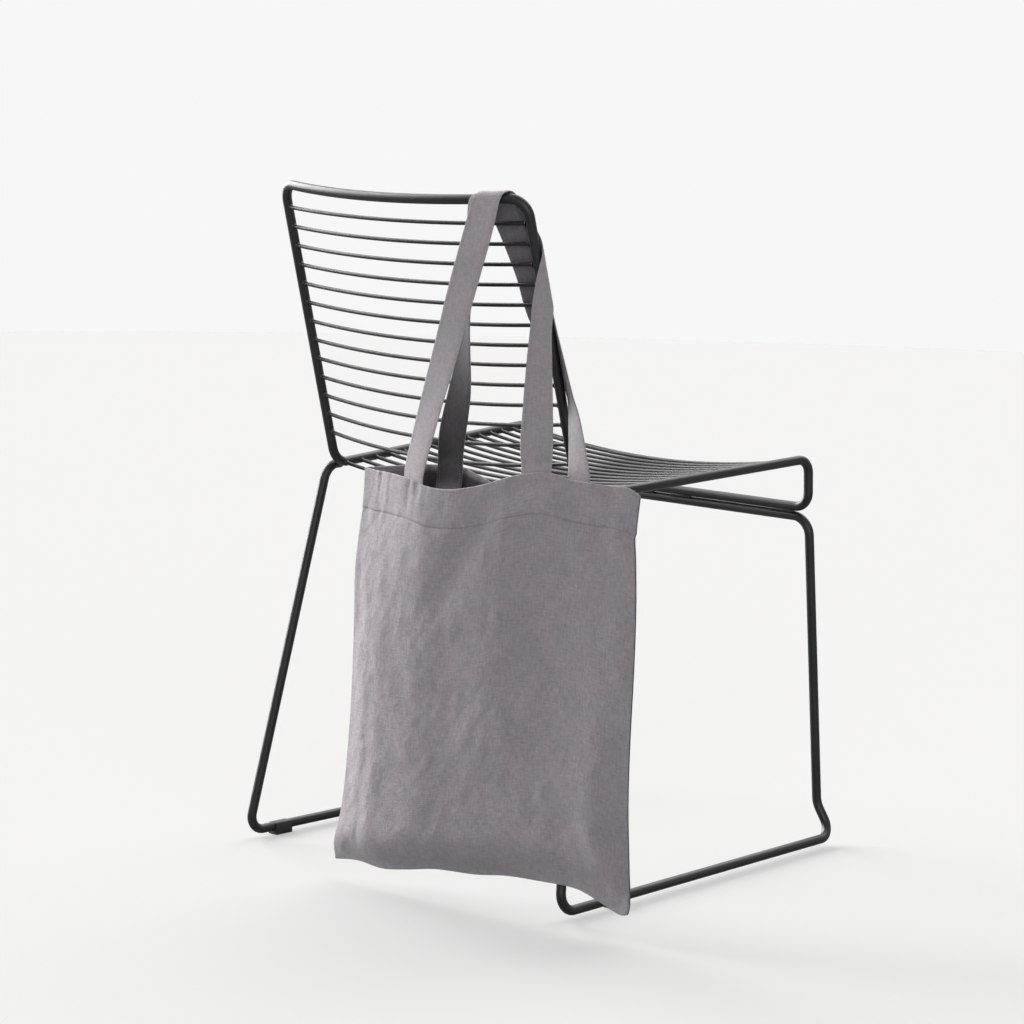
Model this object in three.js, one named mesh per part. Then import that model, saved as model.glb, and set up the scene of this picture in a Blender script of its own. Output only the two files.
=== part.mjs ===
import * as THREE from "three";

// A linen tote bag hung by both handles over the top corner of a wire chair's back.
// Millimetres, +Z up, +Y the way a person on the chair faces, the bag on the -Y side.

// Frame of the chair: two bent tubes.
const TUBE_RADIUS = 5.5;
const TUBE_SIDES = 12;
const TOP = { x: 187.3, y: -246, z: 784, bend: 22 };
const SEAT_BACK = { x: 191, y: -155, z: 454, bend: 25 };
const SEAT_FRONT = { x: 223, y: 216, z: 472, bend: 17 };
const APRON = { x: 223, y: 219, z: 413, bend: 19 };
const TOP_BAR_BOW = 27.5;
const LEG_STUB = { x: 204.8, y: -134, z: 451.5 };
const REAR_KNEE = { x: 203, y: -157, z: 451.5, bend: 20 };
const REAR_FOOT = { x: 249, y: -236, z: 12, bend: 20 };
const FRONT_FOOT = { x: 240, y: 266, z: 12, bend: 20 };
const FRONT_ANKLE = { x: 220, y: 260, z: 50, bend: 30 };
const FRONT_KNEE = { x: 223.5, y: 220, z: 401.5, bend: 22 };

// Rods of the back and of the seat.
const ROD_RADIUS = 2.25;
const ROD_SIDES = 8;
const ROD_STEPS = 6;
const ROD_GAP = 0.6;
const BACK_RODS = {
  count: 13,
  first: 28,
  pitch: 22.8,
  bowAtTop: 21,
  bowAtMiddle: 14,
  bowAtBottom: 17,
  tiltAtTop: 15,
  tiltAtBottom: 55,
};
const SEAT_RODS = {
  count: 16,
  rear: 14.5,
  rearPitch: 27,
  frontPitch: 21.1,
  dipAtRear: 14.5,
  dipAtFront: 21,
  // The foremost rod sits in the front bend.
  lastBack: 4.2,
  lastDrop: 2.6,
};

// Plastic saddles under the runners.
const GLIDE = { length: 25, wall: 1.8, gap: 0.42, wrap: 130, sides: 12, sole: 4, flat: 7 };
const GLIDE_PLACES = [
  { name: "glide_rear_left", side: -1, along: 0.103 },
  { name: "glide_rear_right", side: 1, along: 0.19 },
  { name: "glide_front_left", side: -1, along: 0.9 },
];

// The bag: two panels that share their side and bottom seams.
const CLOTH = 1.5;
const SEAM_GAP = 0.5;
const BAG = { x: 130, heading: 5, rimY: -250, rimZ: 480, footY: -264, footZ: 30 };
const PANEL_COLUMNS = 28;
const PANEL_ROWS = 24;
const EDGE_CROWDING = 0.06;

// Side edges by height: distance of each edge from the bag's hanging line.
const SIDES = [
  { z: 25, left: -184, right: 221 },
  { z: 45, left: -187, right: 225 },
  { z: 84, left: -178, right: 222 },
  { z: 149, left: -172, right: 217 },
  { z: 215, left: -169, right: 215.5 },
  { z: 300, left: -169, right: 216 },
  { z: 360, left: -170, right: 215 },
  { z: 410, left: -165, right: 212 },
  { z: 438, left: -161, right: 209.5 },
  { z: 480, left: -160, right: 212.5 },
];
// Bottom seam by share of the width.
const BOTTOM = [
  { at: 0, z: 25 },
  { at: 0.08, z: 28.5 },
  { at: 0.17, z: 25.5 },
  { at: 0.26, z: 30.5 },
  { at: 0.36, z: 38 },
  { at: 0.5, z: 42 },
  { at: 0.6, z: 48 },
  { at: 0.7, z: 50 },
  { at: 0.83, z: 50.5 },
  { at: 0.91, z: 41.5 },
  { at: 0.96, z: 34.5 },
  { at: 0.985, z: 32.5 },
  { at: 1, z: 34 },
];
// Rims: height, and how far each stands off the seam plane, by share of the width.
const FRONT_RIM = [
  { at: 0, z: 474.5, off: 0 },
  { at: 0.07, z: 474, off: 9 },
  { at: 0.15, z: 475, off: 22 },
  { at: 0.25, z: 474, off: 36 },
  { at: 0.33, z: 469, off: 43 },
  { at: 0.42, z: 469, off: 43 },
  { at: 0.52, z: 477, off: 38 },
  { at: 0.62, z: 490, off: 30 },
  { at: 0.72, z: 496.5, off: 22.5 },
  { at: 0.8, z: 490.5, off: 16 },
  { at: 0.9, z: 488, off: 8 },
  { at: 0.97, z: 487, off: 3 },
  { at: 1, z: 482.5, off: 0 },
];
const BACK_RIM = [
  { at: 0, z: 474.5, off: 0 },
  { at: 0.08, z: 477.5, off: 15 },
  { at: 0.18, z: 481, off: 31 },
  { at: 0.27, z: 482.5, off: 35 },
  { at: 0.36, z: 475, off: 33 },
  { at: 0.46, z: 466, off: 28 },
  { at: 0.56, z: 466, off: 29 },
  { at: 0.66, z: 476, off: 34 },
  { at: 0.74, z: 481, off: 30 },
  { at: 0.84, z: 479, off: 19 },
  { at: 0.93, z: 479, off: 9 },
  { at: 1, z: 482.5, off: 0 },
];
// How far each panel bellies off the seam plane well below the rim.
const BELLY = [
  { at: 0, front: 0, back: 0 },
  { at: 0.04, front: 8, back: 5 },
  { at: 0.1, front: 17.5, back: 8.5 },
  { at: 0.18, front: 24.5, back: 10 },
  { at: 0.26, front: 28, back: 10 },
  { at: 0.36, front: 29, back: 9 },
  { at: 0.5, front: 25, back: 10 },
  { at: 0.65, front: 18, back: 9.5 },
  { at: 0.8, front: 11, back: 7.5 },
  { at: 0.92, front: 5.5, back: 5 },
  { at: 1, front: 0, back: 0 },
];
// Share of the height over which the belly rolls in to the bottom seam.
const BOTTOM_ROLL = 0.2;
// Soft folds: where each starts and ends, its half width as a share of the bag, its height in mm.
const FRONT_FOLDS = [
  { top: 0.07, bottom: 0.08, half: 0.035, rise: 2, low: 0.1, high: 0.97 },
  { top: 0.56, bottom: -0.03, half: 0.06, rise: -5, low: 0.6, high: 1.0 },
  { top: 0.4, bottom: 0.42, half: 0.07, rise: -2, low: 0.1, high: 0.7 },
  { top: 0.62, bottom: 0.5, half: 0.09, rise: 2.5, low: 0.2, high: 0.98 },
  { top: 0.75, bottom: 0.72, half: 0.1, rise: -2.5, low: 0.2, high: 0.8 },
  { top: 0.86, bottom: 0.9, half: 0.05, rise: 2, low: 0.02, high: 0.5 },
  { top: 0.7, bottom: 0.95, half: 0.06, rise: 4, low: 0.0, high: 0.3 },
];
const BACK_FOLDS = [
  { top: 0.1, bottom: 0.12, half: 0.06, rise: 3, low: 0.1, high: 0.95 },
  { top: 0.3, bottom: 0.27, half: 0.08, rise: -4, low: 0.2, high: 0.9 },
  { top: 0.5, bottom: 0.46, half: 0.1, rise: 3.5, low: 0.15, high: 0.95 },
  { top: 0.68, bottom: 0.7, half: 0.08, rise: -3.5, low: 0.2, high: 0.9 },
  { top: 0.85, bottom: 0.88, half: 0.05, rise: 2, low: 0.1, high: 0.8 },
];

// Handles: flat straps sewn inside the hems, hung over the top bar and round the right upright.
const STRAP = { width: 34, thickness: 1.2, cells: 8, stepsPerStation: 2, wrapStep: 8 };
const FOOT = { depths: [40, 20, 1, -9], gap: 1.05 };
const UNDER_STRAP_GAP = 1.4;
const STRAP_STACK_GAP = 1.2;
const FRONT_HANDLE = {
  panel: "front",
  leftFoot: { at: 0.258, toRight: 1 },
  rightFoot: { at: 0.686, toRight: -1 },
  crossing: { x: 146, drift: 9 },
  layer: 1,
  departAngle: 5,
  // Heading of the width, left edge to right edge, seen from above.
  leftLeg: [
    { x: 88, y: -283, z: 560, turn: -3 },
    { x: 105.5, y: -278.5, z: 622, turn: 5 },
    { x: 123, y: -273, z: 690, turn: 12 },
    { x: 139.5, y: -267.5, z: 752, turn: 12 },
  ],
  // Distance down the upright, and distance along the cloth round it.
  wrap: [
    { down: 14, along: -30 },
    { down: 35, along: -20 },
    { down: 55, along: -10.5 },
    { down: 75, along: 0 },
    { down: 95, along: 11.2 },
    { down: 112, along: 22 },
  ],
  rightLeg: [
    { x: 200, y: -232.5, z: 645, turn: -88 },
    { x: 205.5, y: -240, z: 610, turn: -98 },
    { x: 215.5, y: -252, z: 560, turn: -115 },
    { x: 222.5, y: -260.5, z: 522, turn: -133 },
  ],
};
const BACK_HANDLE = {
  panel: "back",
  leftFoot: { at: 0.25, toRight: 1 },
  rightFoot: { at: 0.735, toRight: 1 },
  crossing: { x: 141, drift: 8 },
  layer: 0,
  departAngle: 54,
  leftLeg: [
    { x: 67, y: -228, z: 515, turn: 8 },
    { x: 85, y: -235, z: 570, turn: -5 },
    { x: 104, y: -244, z: 642, turn: -38 },
    { x: 110, y: -247.5, z: 668, turn: -43 },
    { x: 117, y: -252, z: 697, turn: -30 },
    { x: 125.5, y: -257, z: 728, turn: -9 },
    { x: 135, y: -261, z: 757, turn: 9 },
  ],
  wrap: [
    { down: 14, along: -36 },
    { down: 50, along: -26 },
    { down: 90, along: -17 },
    { down: 125, along: -13 },
    { down: 155, along: -4.5 },
    { down: 180, along: 6 },
    { down: 205, along: 17 },
    { down: 222, along: 24.5 },
  ],
  rightLeg: [
    { x: 219.5, y: -199, z: 548, turn: -30 },
    { x: 230.5, y: -205, z: 517, turn: -19 },
  ],
};

const rad = THREE.MathUtils.degToRad;
const lerp = THREE.MathUtils.lerp;
const UP = new THREE.Vector3(0, 0, 1);

const blackCoat = new THREE.MeshStandardMaterial({ color: 0x1b1c1e, roughness: 0.55 });
const darkPlastic = new THREE.MeshStandardMaterial({ color: 0x2a2b2d, roughness: 0.5 });
const linen = new THREE.MeshStandardMaterial({ color: 0x8d8a8f, roughness: 0.95 });

const group = new THREE.Group();
group.name = "linen_tote_on_wire_chair";

function add(name, geometry, material) {
  const mesh = new THREE.Mesh(geometry, material);
  mesh.name = name;
  group.add(mesh);
}

function point(place, side) {
  return new THREE.Vector3(side * place.x, place.y, place.z);
}

// Value of a column at a key, smooth between the rows of a table.
function read(rows, key, column, value) {
  let i = 0;
  while (i < rows.length - 2 && value > rows[i + 1][key]) {
    i += 1;
  }
  const a = rows[i];
  const b = rows[i + 1];
  const before = rows[Math.max(i - 1, 0)];
  const after = rows[Math.min(i + 2, rows.length - 1)];
  const span = b[key] - a[key];
  const t = THREE.MathUtils.clamp((value - a[key]) / span, 0, 1);
  const slopeA = (b[column] - before[column]) / (b[key] - before[key]);
  const slopeB = (after[column] - a[column]) / (after[key] - a[key]);
  const t2 = t * t;
  const t3 = t2 * t;
  const startPart = (2 * t3 - 3 * t2 + 1) * a[column] + (t3 - 2 * t2 + t) * span * slopeA;
  const endPart = (3 * t2 - 2 * t3) * b[column] + (t3 - t2) * span * slopeB;
  return startPart + endPart;
}

// Closed solid from rings of points, each ring the same length.
function skin(rings, loop) {
  const size = rings[0].length;
  const positions = [];
  const indices = [];
  rings.forEach((ring) => ring.forEach((p) => positions.push(p.x, p.y, p.z)));
  const last = loop ? rings.length : rings.length - 1;
  for (let i = 0; i < last; i += 1) {
    const a = i * size;
    const b = ((i + 1) % rings.length) * size;
    for (let j = 0; j < size; j += 1) {
      const k = (j + 1) % size;
      indices.push(a + j, a + k, b + k, a + j, b + k, b + j);
    }
  }
  if (!loop) {
    cap(rings, 0, true, positions, indices);
    cap(rings, rings.length - 1, false, positions, indices);
  }
  const geometry = new THREE.BufferGeometry();
  geometry.setAttribute("position", new THREE.Float32BufferAttribute(positions, 3));
  geometry.setIndex(indices);
  geometry.computeVertexNormals();
  return geometry;
}

function cap(rings, index, first, positions, indices) {
  const ring = rings[index];
  const size = ring.length;
  const centre = new THREE.Vector3();
  ring.forEach((p) => centre.addScaledVector(p, 1 / size));
  const middle = positions.length / 3;
  positions.push(centre.x, centre.y, centre.z);
  const base = index * size;
  for (let j = 0; j < size; j += 1) {
    const k = (j + 1) % size;
    if (first) {
      indices.push(middle, base + k, base + j);
    } else {
      indices.push(middle, base + j, base + k);
    }
  }
}

// Round section carried along a line of points without twisting.
function tube(points, radius, sides, loop) {
  const count = points.length;
  const tangents = points.map((p, i) => {
    const before = loop ? points[(i + count - 1) % count] : points[Math.max(i - 1, 0)];
    const after = loop ? points[(i + 1) % count] : points[Math.min(i + 1, count - 1)];
    const into = p.clone().sub(before).normalize();
    const out = after.clone().sub(p).normalize();
    return into.add(out).normalize();
  });
  let across = new THREE.Vector3(0, 0, 1).cross(tangents[0]);
  if (across.length() < 0.1) {
    across = new THREE.Vector3(1, 0, 0);
  }
  across.addScaledVector(tangents[0], -across.dot(tangents[0])).normalize();
  const frames = [across.clone()];
  for (let i = 1; i < count; i += 1) {
    const turn = new THREE.Quaternion().setFromUnitVectors(tangents[i - 1], tangents[i]);
    frames.push(frames[i - 1].clone().applyQuaternion(turn));
  }
  let twist = 0;
  if (loop) {
    const turn = new THREE.Quaternion().setFromUnitVectors(tangents[count - 1], tangents[0]);
    const back = frames[count - 1].clone().applyQuaternion(turn);
    const side = tangents[0].clone().cross(frames[0]);
    twist = -Math.atan2(back.dot(side), back.dot(frames[0]));
  }
  const rings = points.map((p, i) => {
    const share = (twist * i) / count;
    const a = frames[i].clone().applyAxisAngle(tangents[i], share);
    const b = tangents[i].clone().cross(a);
    const ring = [];
    for (let j = 0; j < sides; j += 1) {
      const angle = (2 * Math.PI * j) / sides;
      const rim = p.clone().addScaledVector(a, radius * Math.cos(angle));
      ring.push(rim.addScaledVector(b, radius * Math.sin(angle)));
    }
    return ring;
  });
  return skin(rings, loop);
}

// Line of points with each named corner rounded to its bend radius.
function rounded(corners, steps, loop) {
  const count = corners.length;
  const line = [];
  corners.forEach((corner, i) => {
    const ends = !loop && (i === 0 || i === count - 1);
    if (ends || !corner.bend) {
      line.push(corner.at.clone());
      return;
    }
    const into = corners[(i + count - 1) % count].at.clone().sub(corner.at).normalize();
    const out = corners[(i + 1) % count].at.clone().sub(corner.at).normalize();
    const half = Math.acos(THREE.MathUtils.clamp(into.dot(out), -1, 1)) / 2;
    const reach = corner.bend / Math.tan(half);
    const bisector = into.clone().add(out).normalize();
    const centre = corner.at.clone().addScaledVector(bisector, corner.bend / Math.sin(half));
    const start = corner.at.clone().addScaledVector(into, reach).sub(centre);
    const finish = corner.at.clone().addScaledVector(out, reach).sub(centre);
    const axis = start.clone().cross(finish).normalize();
    const sweep = start.angleTo(finish);
    const parts = Math.max(2, Math.round((steps * sweep) / (Math.PI / 2)));
    for (let k = 0; k <= parts; k += 1) {
      line.push(start.clone().applyAxisAngle(axis, (sweep * k) / parts).add(centre));
    }
  });
  return line;
}

function bent(place, side) {
  return { at: point(place, side), bend: place.bend };
}

// Unit directions of the back: down the upright, and out of its plane towards the bag.
const uprightRun = point(SEAT_BACK, 1).sub(point(TOP, 1));
const downUpright = uprightRun.clone().normalize();
const downBack = new THREE.Vector3(0, uprightRun.y, uprightRun.z).normalize();

function bowDirection(tilt) {
  return new THREE.Vector3(0, -Math.cos(rad(tilt)), -Math.sin(rad(tilt)));
}

function topBarPoint(share) {
  const lean = THREE.MathUtils.radToDeg(Math.atan2(downBack.y, -downBack.z));
  const p = new THREE.Vector3(share * TOP.x, TOP.y, TOP.z);
  return p.addScaledVector(bowDirection(lean), TOP_BAR_BOW * (1 - share * share));
}

// Seat frame: top bar, uprights, seat sides and the lower front bar, one closed loop.
const topBarShares = [0.8, 0.6, 0.4, 0.2, 0, -0.2, -0.4, -0.6, -0.8];
const seatLoop = [
  bent(APRON, 1),
  bent(SEAT_FRONT, 1),
  bent(SEAT_BACK, 1),
  bent(TOP, 1),
  ...topBarShares.map((share) => ({ at: topBarPoint(share) })),
  bent(TOP, -1),
  bent(SEAT_BACK, -1),
  bent(SEAT_FRONT, -1),
  bent(APRON, -1),
];
add("seat_frame", tube(rounded(seatLoop, 6, true), TUBE_RADIUS, TUBE_SIDES, true), blackCoat);

// Leg frame: rear legs, runners, front legs and the cross bar, one open run.
const legRun = [
  bent(LEG_STUB, -1),
  bent(REAR_KNEE, -1),
  bent(REAR_FOOT, -1),
  bent(FRONT_FOOT, -1),
  bent(FRONT_ANKLE, -1),
  bent(FRONT_KNEE, -1),
  bent(FRONT_KNEE, 1),
  bent(FRONT_ANKLE, 1),
  bent(FRONT_FOOT, 1),
  bent(REAR_FOOT, 1),
  bent(REAR_KNEE, 1),
  bent(LEG_STUB, 1),
];
add("leg_frame", tube(rounded(legRun, 6, false), TUBE_RADIUS, TUBE_SIDES, false), blackCoat);

// Rod bowed between the two side tubes, its ends just short of them.
function rod(anchor, direction, bow) {
  const reach = anchor.x - TUBE_RADIUS - ROD_GAP;
  const points = [];
  for (let i = 0; i <= ROD_STEPS; i += 1) {
    const share = ((2 * i) / ROD_STEPS - 1) * (reach / anchor.x);
    const p = new THREE.Vector3(share * anchor.x, anchor.y, anchor.z);
    points.push(p.addScaledVector(direction, bow * (1 - share * share)));
  }
  return tube(points, ROD_RADIUS, ROD_SIDES, false);
}

function label(stem, index) {
  return stem + String(index + 1).padStart(2, "0");
}

for (let i = 0; i < BACK_RODS.count; i += 1) {
  const share = i / (BACK_RODS.count - 1);
  const along = (BACK_RODS.first + BACK_RODS.pitch * i) / Math.hypot(uprightRun.y, uprightRun.z);
  const anchor = point(TOP, 1).lerp(point(SEAT_BACK, 1), along);
  const ends = lerp(BACK_RODS.bowAtTop, BACK_RODS.bowAtBottom, share);
  const straight = (BACK_RODS.bowAtTop + BACK_RODS.bowAtBottom) / 2;
  const bow = ends + (BACK_RODS.bowAtMiddle - straight) * 4 * share * (1 - share);
  const tilt = lerp(BACK_RODS.tiltAtTop, BACK_RODS.tiltAtBottom, share);
  add(label("back_rod_", i), rod(anchor, bowDirection(tilt), bow), blackCoat);
}

const seatRun = point(SEAT_FRONT, 1).sub(point(SEAT_BACK, 1));
const pitchStep = (SEAT_RODS.rearPitch - SEAT_RODS.frontPitch) / (SEAT_RODS.count - 2);
for (let i = 0; i < SEAT_RODS.count; i += 1) {
  const along = SEAT_RODS.rear + SEAT_RODS.rearPitch * i - (pitchStep * i * (i - 1)) / 2;
  const foremost = i === SEAT_RODS.count - 1;
  const reach = foremost ? along - SEAT_RODS.lastBack : along;
  const anchor = point(SEAT_BACK, 1).addScaledVector(seatRun.clone().normalize(), reach);
  anchor.z -= foremost ? SEAT_RODS.lastDrop : 0;
  const dip = lerp(SEAT_RODS.dipAtRear, SEAT_RODS.dipAtFront, i / (SEAT_RODS.count - 1));
  add(label("seat_rod_", i), rod(anchor, bowDirection(90), dip), blackCoat);
}

// Saddle cupping the underside of a runner, flat where it meets the floor.
function glide(side, along) {
  const rear = point(REAR_FOOT, side);
  const front = point(FRONT_FOOT, side);
  const run = front.clone().sub(rear).normalize();
  const centre = rear.clone().lerp(front, along);
  const across = new THREE.Vector3(0, 0, 1).cross(run).normalize();
  const inner = TUBE_RADIUS + GLIDE.gap;
  const outer = inner + GLIDE.wall;
  const outline = [];
  for (let i = 0; i <= GLIDE.sides; i += 1) {
    const angle = rad(-90 - GLIDE.wrap + (2 * GLIDE.wrap * i) / GLIDE.sides);
    outline.push([inner * Math.cos(angle), inner * Math.sin(angle)]);
  }
  const rimAngle = rad(-90 + GLIDE.wrap);
  const rimX = outer * Math.cos(rimAngle);
  const rimZ = outer * Math.sin(rimAngle);
  const bottom = -TUBE_RADIUS - GLIDE.sole;
  outline.push([rimX, rimZ], [outer, 1.5], [outer, bottom + 1], [GLIDE.flat, bottom]);
  outline.push([-GLIDE.flat, bottom], [-outer, bottom + 1], [-outer, 1.5], [-rimX, rimZ]);
  const shape = new THREE.Shape(outline.map(([x, y]) => new THREE.Vector2(x, y)));
  const geometry = new THREE.ExtrudeGeometry(shape, { depth: GLIDE.length, bevelEnabled: false });
  geometry.translate(0, 0, -GLIDE.length / 2);
  const facing = new THREE.Matrix4().makeBasis(across, UP, run.clone().negate());
  const placed = facing.determinant() > 0 ? facing : facing.makeBasis(across, UP, run);
  geometry.applyMatrix4(placed);
  geometry.translate(centre.x, centre.y, centre.z);
  return geometry;
}

GLIDE_PLACES.forEach((place) => {
  add(place.name, glide(place.side, place.along), darkPlastic);
});

// Point of the bag from distance along its width, height, and distance off the seam plane.
const bagAcross = new THREE.Vector3(Math.cos(rad(BAG.heading)), Math.sin(rad(BAG.heading)), 0);
const bagOut = new THREE.Vector3(bagAcross.y, -bagAcross.x, 0);

function bagPoint(along, z, off) {
  const y = lerp(BAG.footY, BAG.rimY, (z - BAG.footZ) / (BAG.rimZ - BAG.footZ));
  const p = new THREE.Vector3(BAG.x, y, z);
  return p.addScaledVector(bagAcross, along).addScaledVector(bagOut, off);
}

function smooth(edgeA, edgeB, value) {
  return THREE.MathUtils.smoothstep(value, edgeA, edgeB);
}

function foldHeight(folds, u, v) {
  return folds.reduce((sum, fold) => {
    const at = lerp(fold.bottom, fold.top, v);
    const reach = (u - at) / fold.half;
    const lengthwise = smooth(fold.low, fold.low + 0.15, v) * (1 - smooth(fold.high - 0.12, fold.high, v));
    return sum + fold.rise * Math.exp(-reach * reach) * lengthwise;
  }, 0);
}

// Distance of a panel off the seam plane, never less than the seam's own gap.
function standOff(rim, belly, folds, u, v) {
  const seam = (CLOTH + SEAM_GAP) / 2;
  const rimShare = smooth(0.42, 1, v);
  const bottomShare = 1 - (1 - smooth(0, BOTTOM_ROLL, v)) ** 2;
  const fullness = read(BELLY, "at", belly, u) * bottomShare;
  const open = read(rim, "at", "off", u) * rimShare;
  const edge = smooth(0, 0.05, u) * smooth(0, 0.04, 1 - u) * smooth(0, 0.06, v);
  const folded = foldHeight(folds, u, v) * edge;
  return seam + Math.max(0, fullness * (1 - rimShare) + open + folded);
}

const PANELS = {
  front: { rim: FRONT_RIM, belly: "front", folds: FRONT_FOLDS, facing: 1 },
  back: { rim: BACK_RIM, belly: "back", folds: BACK_FOLDS, facing: -1 },
};

function panelPoint({ rim, belly, folds, facing }, u, v) {
  const z = lerp(read(BOTTOM, "at", "z", u), read(rim, "at", "z", u), v);
  const left = read(SIDES, "z", "left", z);
  const right = read(SIDES, "z", "right", z);
  return bagPoint(lerp(left, right, u), z, facing * standOff(rim, belly, folds, u, v));
}

// Outward direction of a panel, square to the seam plane along its sewn edges.
function panelNormal(side, u, v) {
  if (Math.min(u, 1 - u) < 0.02 || v < 0.02) {
    return bagOut.clone();
  }
  const nudge = 0.004;
  const ahead = panelPoint(side, Math.min(u + nudge, 1), v);
  const above = panelPoint(side, u, Math.min(v + nudge, 1));
  const acrossRun = ahead.sub(panelPoint(side, Math.max(u - nudge, 0), v));
  const upRun = above.sub(panelPoint(side, u, Math.max(v - nudge, 0)));
  return acrossRun.cross(upRun).normalize();
}

function panel(side) {
  const middles = [];
  const normals = [];
  for (let i = 0; i <= PANEL_COLUMNS; i += 1) {
    const u = edgeSpaced(i / PANEL_COLUMNS);
    const shares = Array.from({ length: PANEL_ROWS + 1 }, (_, j) => j / PANEL_ROWS);
    middles.push(shares.map((v) => panelPoint(side, u, v)));
    normals.push(shares.map((v) => panelNormal(side, u, v)));
  }
  return sheet(middles, normals, CLOTH);
}

// Columns drawn closer together near the side seams.
function edgeSpaced(share) {
  return share - Math.sin(2 * Math.PI * share) * EDGE_CROWDING;
}

// Closed thin solid half a cloth thickness either side of a grid of points.
function sheet(middles, normals, thickness) {
  const half = thickness / 2;
  const size = 2 * middles[0].length;
  const positions = [];
  const indices = [];
  middles.forEach((line, i) => {
    const outside = line.map((p, j) => p.clone().addScaledVector(normals[i][j], half));
    const inside = line.map((p, j) => p.clone().addScaledVector(normals[i][j], -half));
    [...outside, ...inside.reverse()].forEach((p) => positions.push(p.x, p.y, p.z));
  });
  for (let i = 0; i < middles.length - 1; i += 1) {
    const a = i * size;
    const b = a + size;
    for (let j = 0; j < size; j += 1) {
      const k = (j + 1) % size;
      indices.push(a + j, b + j, b + k, a + j, b + k, a + k);
    }
  }
  const end = (middles.length - 1) * size;
  for (let j = 0; j < size / 2 - 1; j += 1) {
    const k = size - 1 - j;
    indices.push(j, j + 1, k - 1, j, k - 1, k);
    indices.push(end + j, end + k - 1, end + j + 1, end + j, end + k, end + k - 1);
  }
  const geometry = new THREE.BufferGeometry();
  geometry.setAttribute("position", new THREE.Float32BufferAttribute(positions, 3));
  geometry.setIndex(indices);
  geometry.computeVertexNormals();
  return geometry;
}

add("front_panel", panel(PANELS.front), linen);
add("back_panel", panel(PANELS.back), linen);

// Places across a strap's width, from one edge to the other.
const strapPlaces = Array.from(
  { length: STRAP.cells + 1 },
  (_, i) => (i / STRAP.cells - 0.5) * STRAP.width,
);

function flatStation(centre, widthDirection) {
  return strapPlaces.map((w) => centre.clone().addScaledVector(widthDirection, w));
}

// Foot of a handle, following the inside of its panel from a depth below the rim.
function footStation(side, foot, depth) {
  const topRow = SIDES[SIDES.length - 1];
  const width = topRow.right - topRow.left;
  const height = BAG.rimZ - BAG.footZ;
  const inset = (CLOTH + STRAP.thickness) / 2 + FOOT.gap;
  return strapPlaces.map((w) => {
    const u = foot.at + (foot.toRight * w) / width;
    const v = 1 - depth / height;
    const p = panelPoint(side, u, v);
    return p.addScaledVector(panelNormal(side, u, Math.min(v, 1)), -side.facing * inset);
  });
}

function legStations(rows, ends) {
  const centres = rows.map((row) => new THREE.Vector3(row.x, row.y, row.z));
  const line = [ends[0], ...centres, ends[1]];
  return rows.map((row, i) => {
    const run = line[i + 2].clone().sub(line[i]).normalize();
    const heading = new THREE.Vector3(Math.cos(rad(row.turn)), Math.sin(rad(row.turn)), 0);
    const width = heading.addScaledVector(run, -heading.dot(run)).normalize();
    return flatStation(centres[i], width);
  });
}

// Radius of a strap's middle round a tube, by the layers of cloth beneath it.
function layerRadius(layer) {
  const firstLayer = TUBE_RADIUS + UNDER_STRAP_GAP + STRAP.thickness / 2;
  return firstLayer + layer * (STRAP.thickness + STRAP_STACK_GAP);
}

// Over the top bar, from the bag's side to the sitter's side.
function crossingStations({ crossing, layer }) {
  const radius = layerRadius(layer);
  const quarters = [0, 45, 90, 135, 180];
  return quarters.map((angle) => {
    const x = crossing.x + (crossing.drift * angle) / 180;
    const axis = topBarPoint(x / TOP.x);
    const tangent = topBarPoint((x + 1) / TOP.x).sub(axis).normalize();
    axis.y -= radius * Math.cos(rad(angle));
    axis.z += radius * Math.sin(rad(angle));
    return flatStation(axis, tangent);
  });
}

// Plan of the cloth round the upright: straight in, round the tube, straight out.
const ARRIVE_ANGLE = 101;

function roundUpright(along, radius, departAngle) {
  const start = rad(ARRIVE_ANGLE);
  const arc = radius * (start - rad(departAngle));
  const angle = start - THREE.MathUtils.clamp(along, 0, arc) / radius;
  const past = along < 0 ? along : Math.max(0, along - arc);
  const x = radius * Math.cos(angle) + past * Math.sin(angle);
  const out = radius * Math.sin(angle) - past * Math.cos(angle);
  return { x, out };
}

const sitterwards = new THREE.Vector3(0, -downBack.z, downBack.y);

// Round the upright the outer strap settles off the inner one once past it.
const SETTLE = { from: 9, to: 26 };

function wrapStations({ wrap, layer, departAngle }) {
  const first = wrap[0].down;
  const last = wrap[wrap.length - 1].down;
  const count = Math.round((last - first) / STRAP.wrapStep);
  const stations = [];
  for (let i = 0; i <= count; i += 1) {
    const down = lerp(first, last, i / count);
    const along = read(wrap, "down", "along", down);
    const climb = read(wrap, "down", "along", down + 1) - read(wrap, "down", "along", down - 1);
    const slope = Math.atan2(climb, Math.min(down + 1, last) - Math.max(down - 1, first));
    stations.push(strapPlaces.map((w) => {
      const reach = along + w * Math.cos(slope);
      const radius = layerRadius(layer * (1 - smooth(SETTLE.from, SETTLE.to, reach)));
      const place = roundUpright(reach, radius, departAngle);
      const p = point(TOP, 1).addScaledVector(downUpright, down - w * Math.sin(slope));
      p.x += place.x;
      return p.addScaledVector(sitterwards, place.out);
    }));
  }
  return stations;
}

function middleOf(station) {
  return station[STRAP.cells / 2];
}

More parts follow.
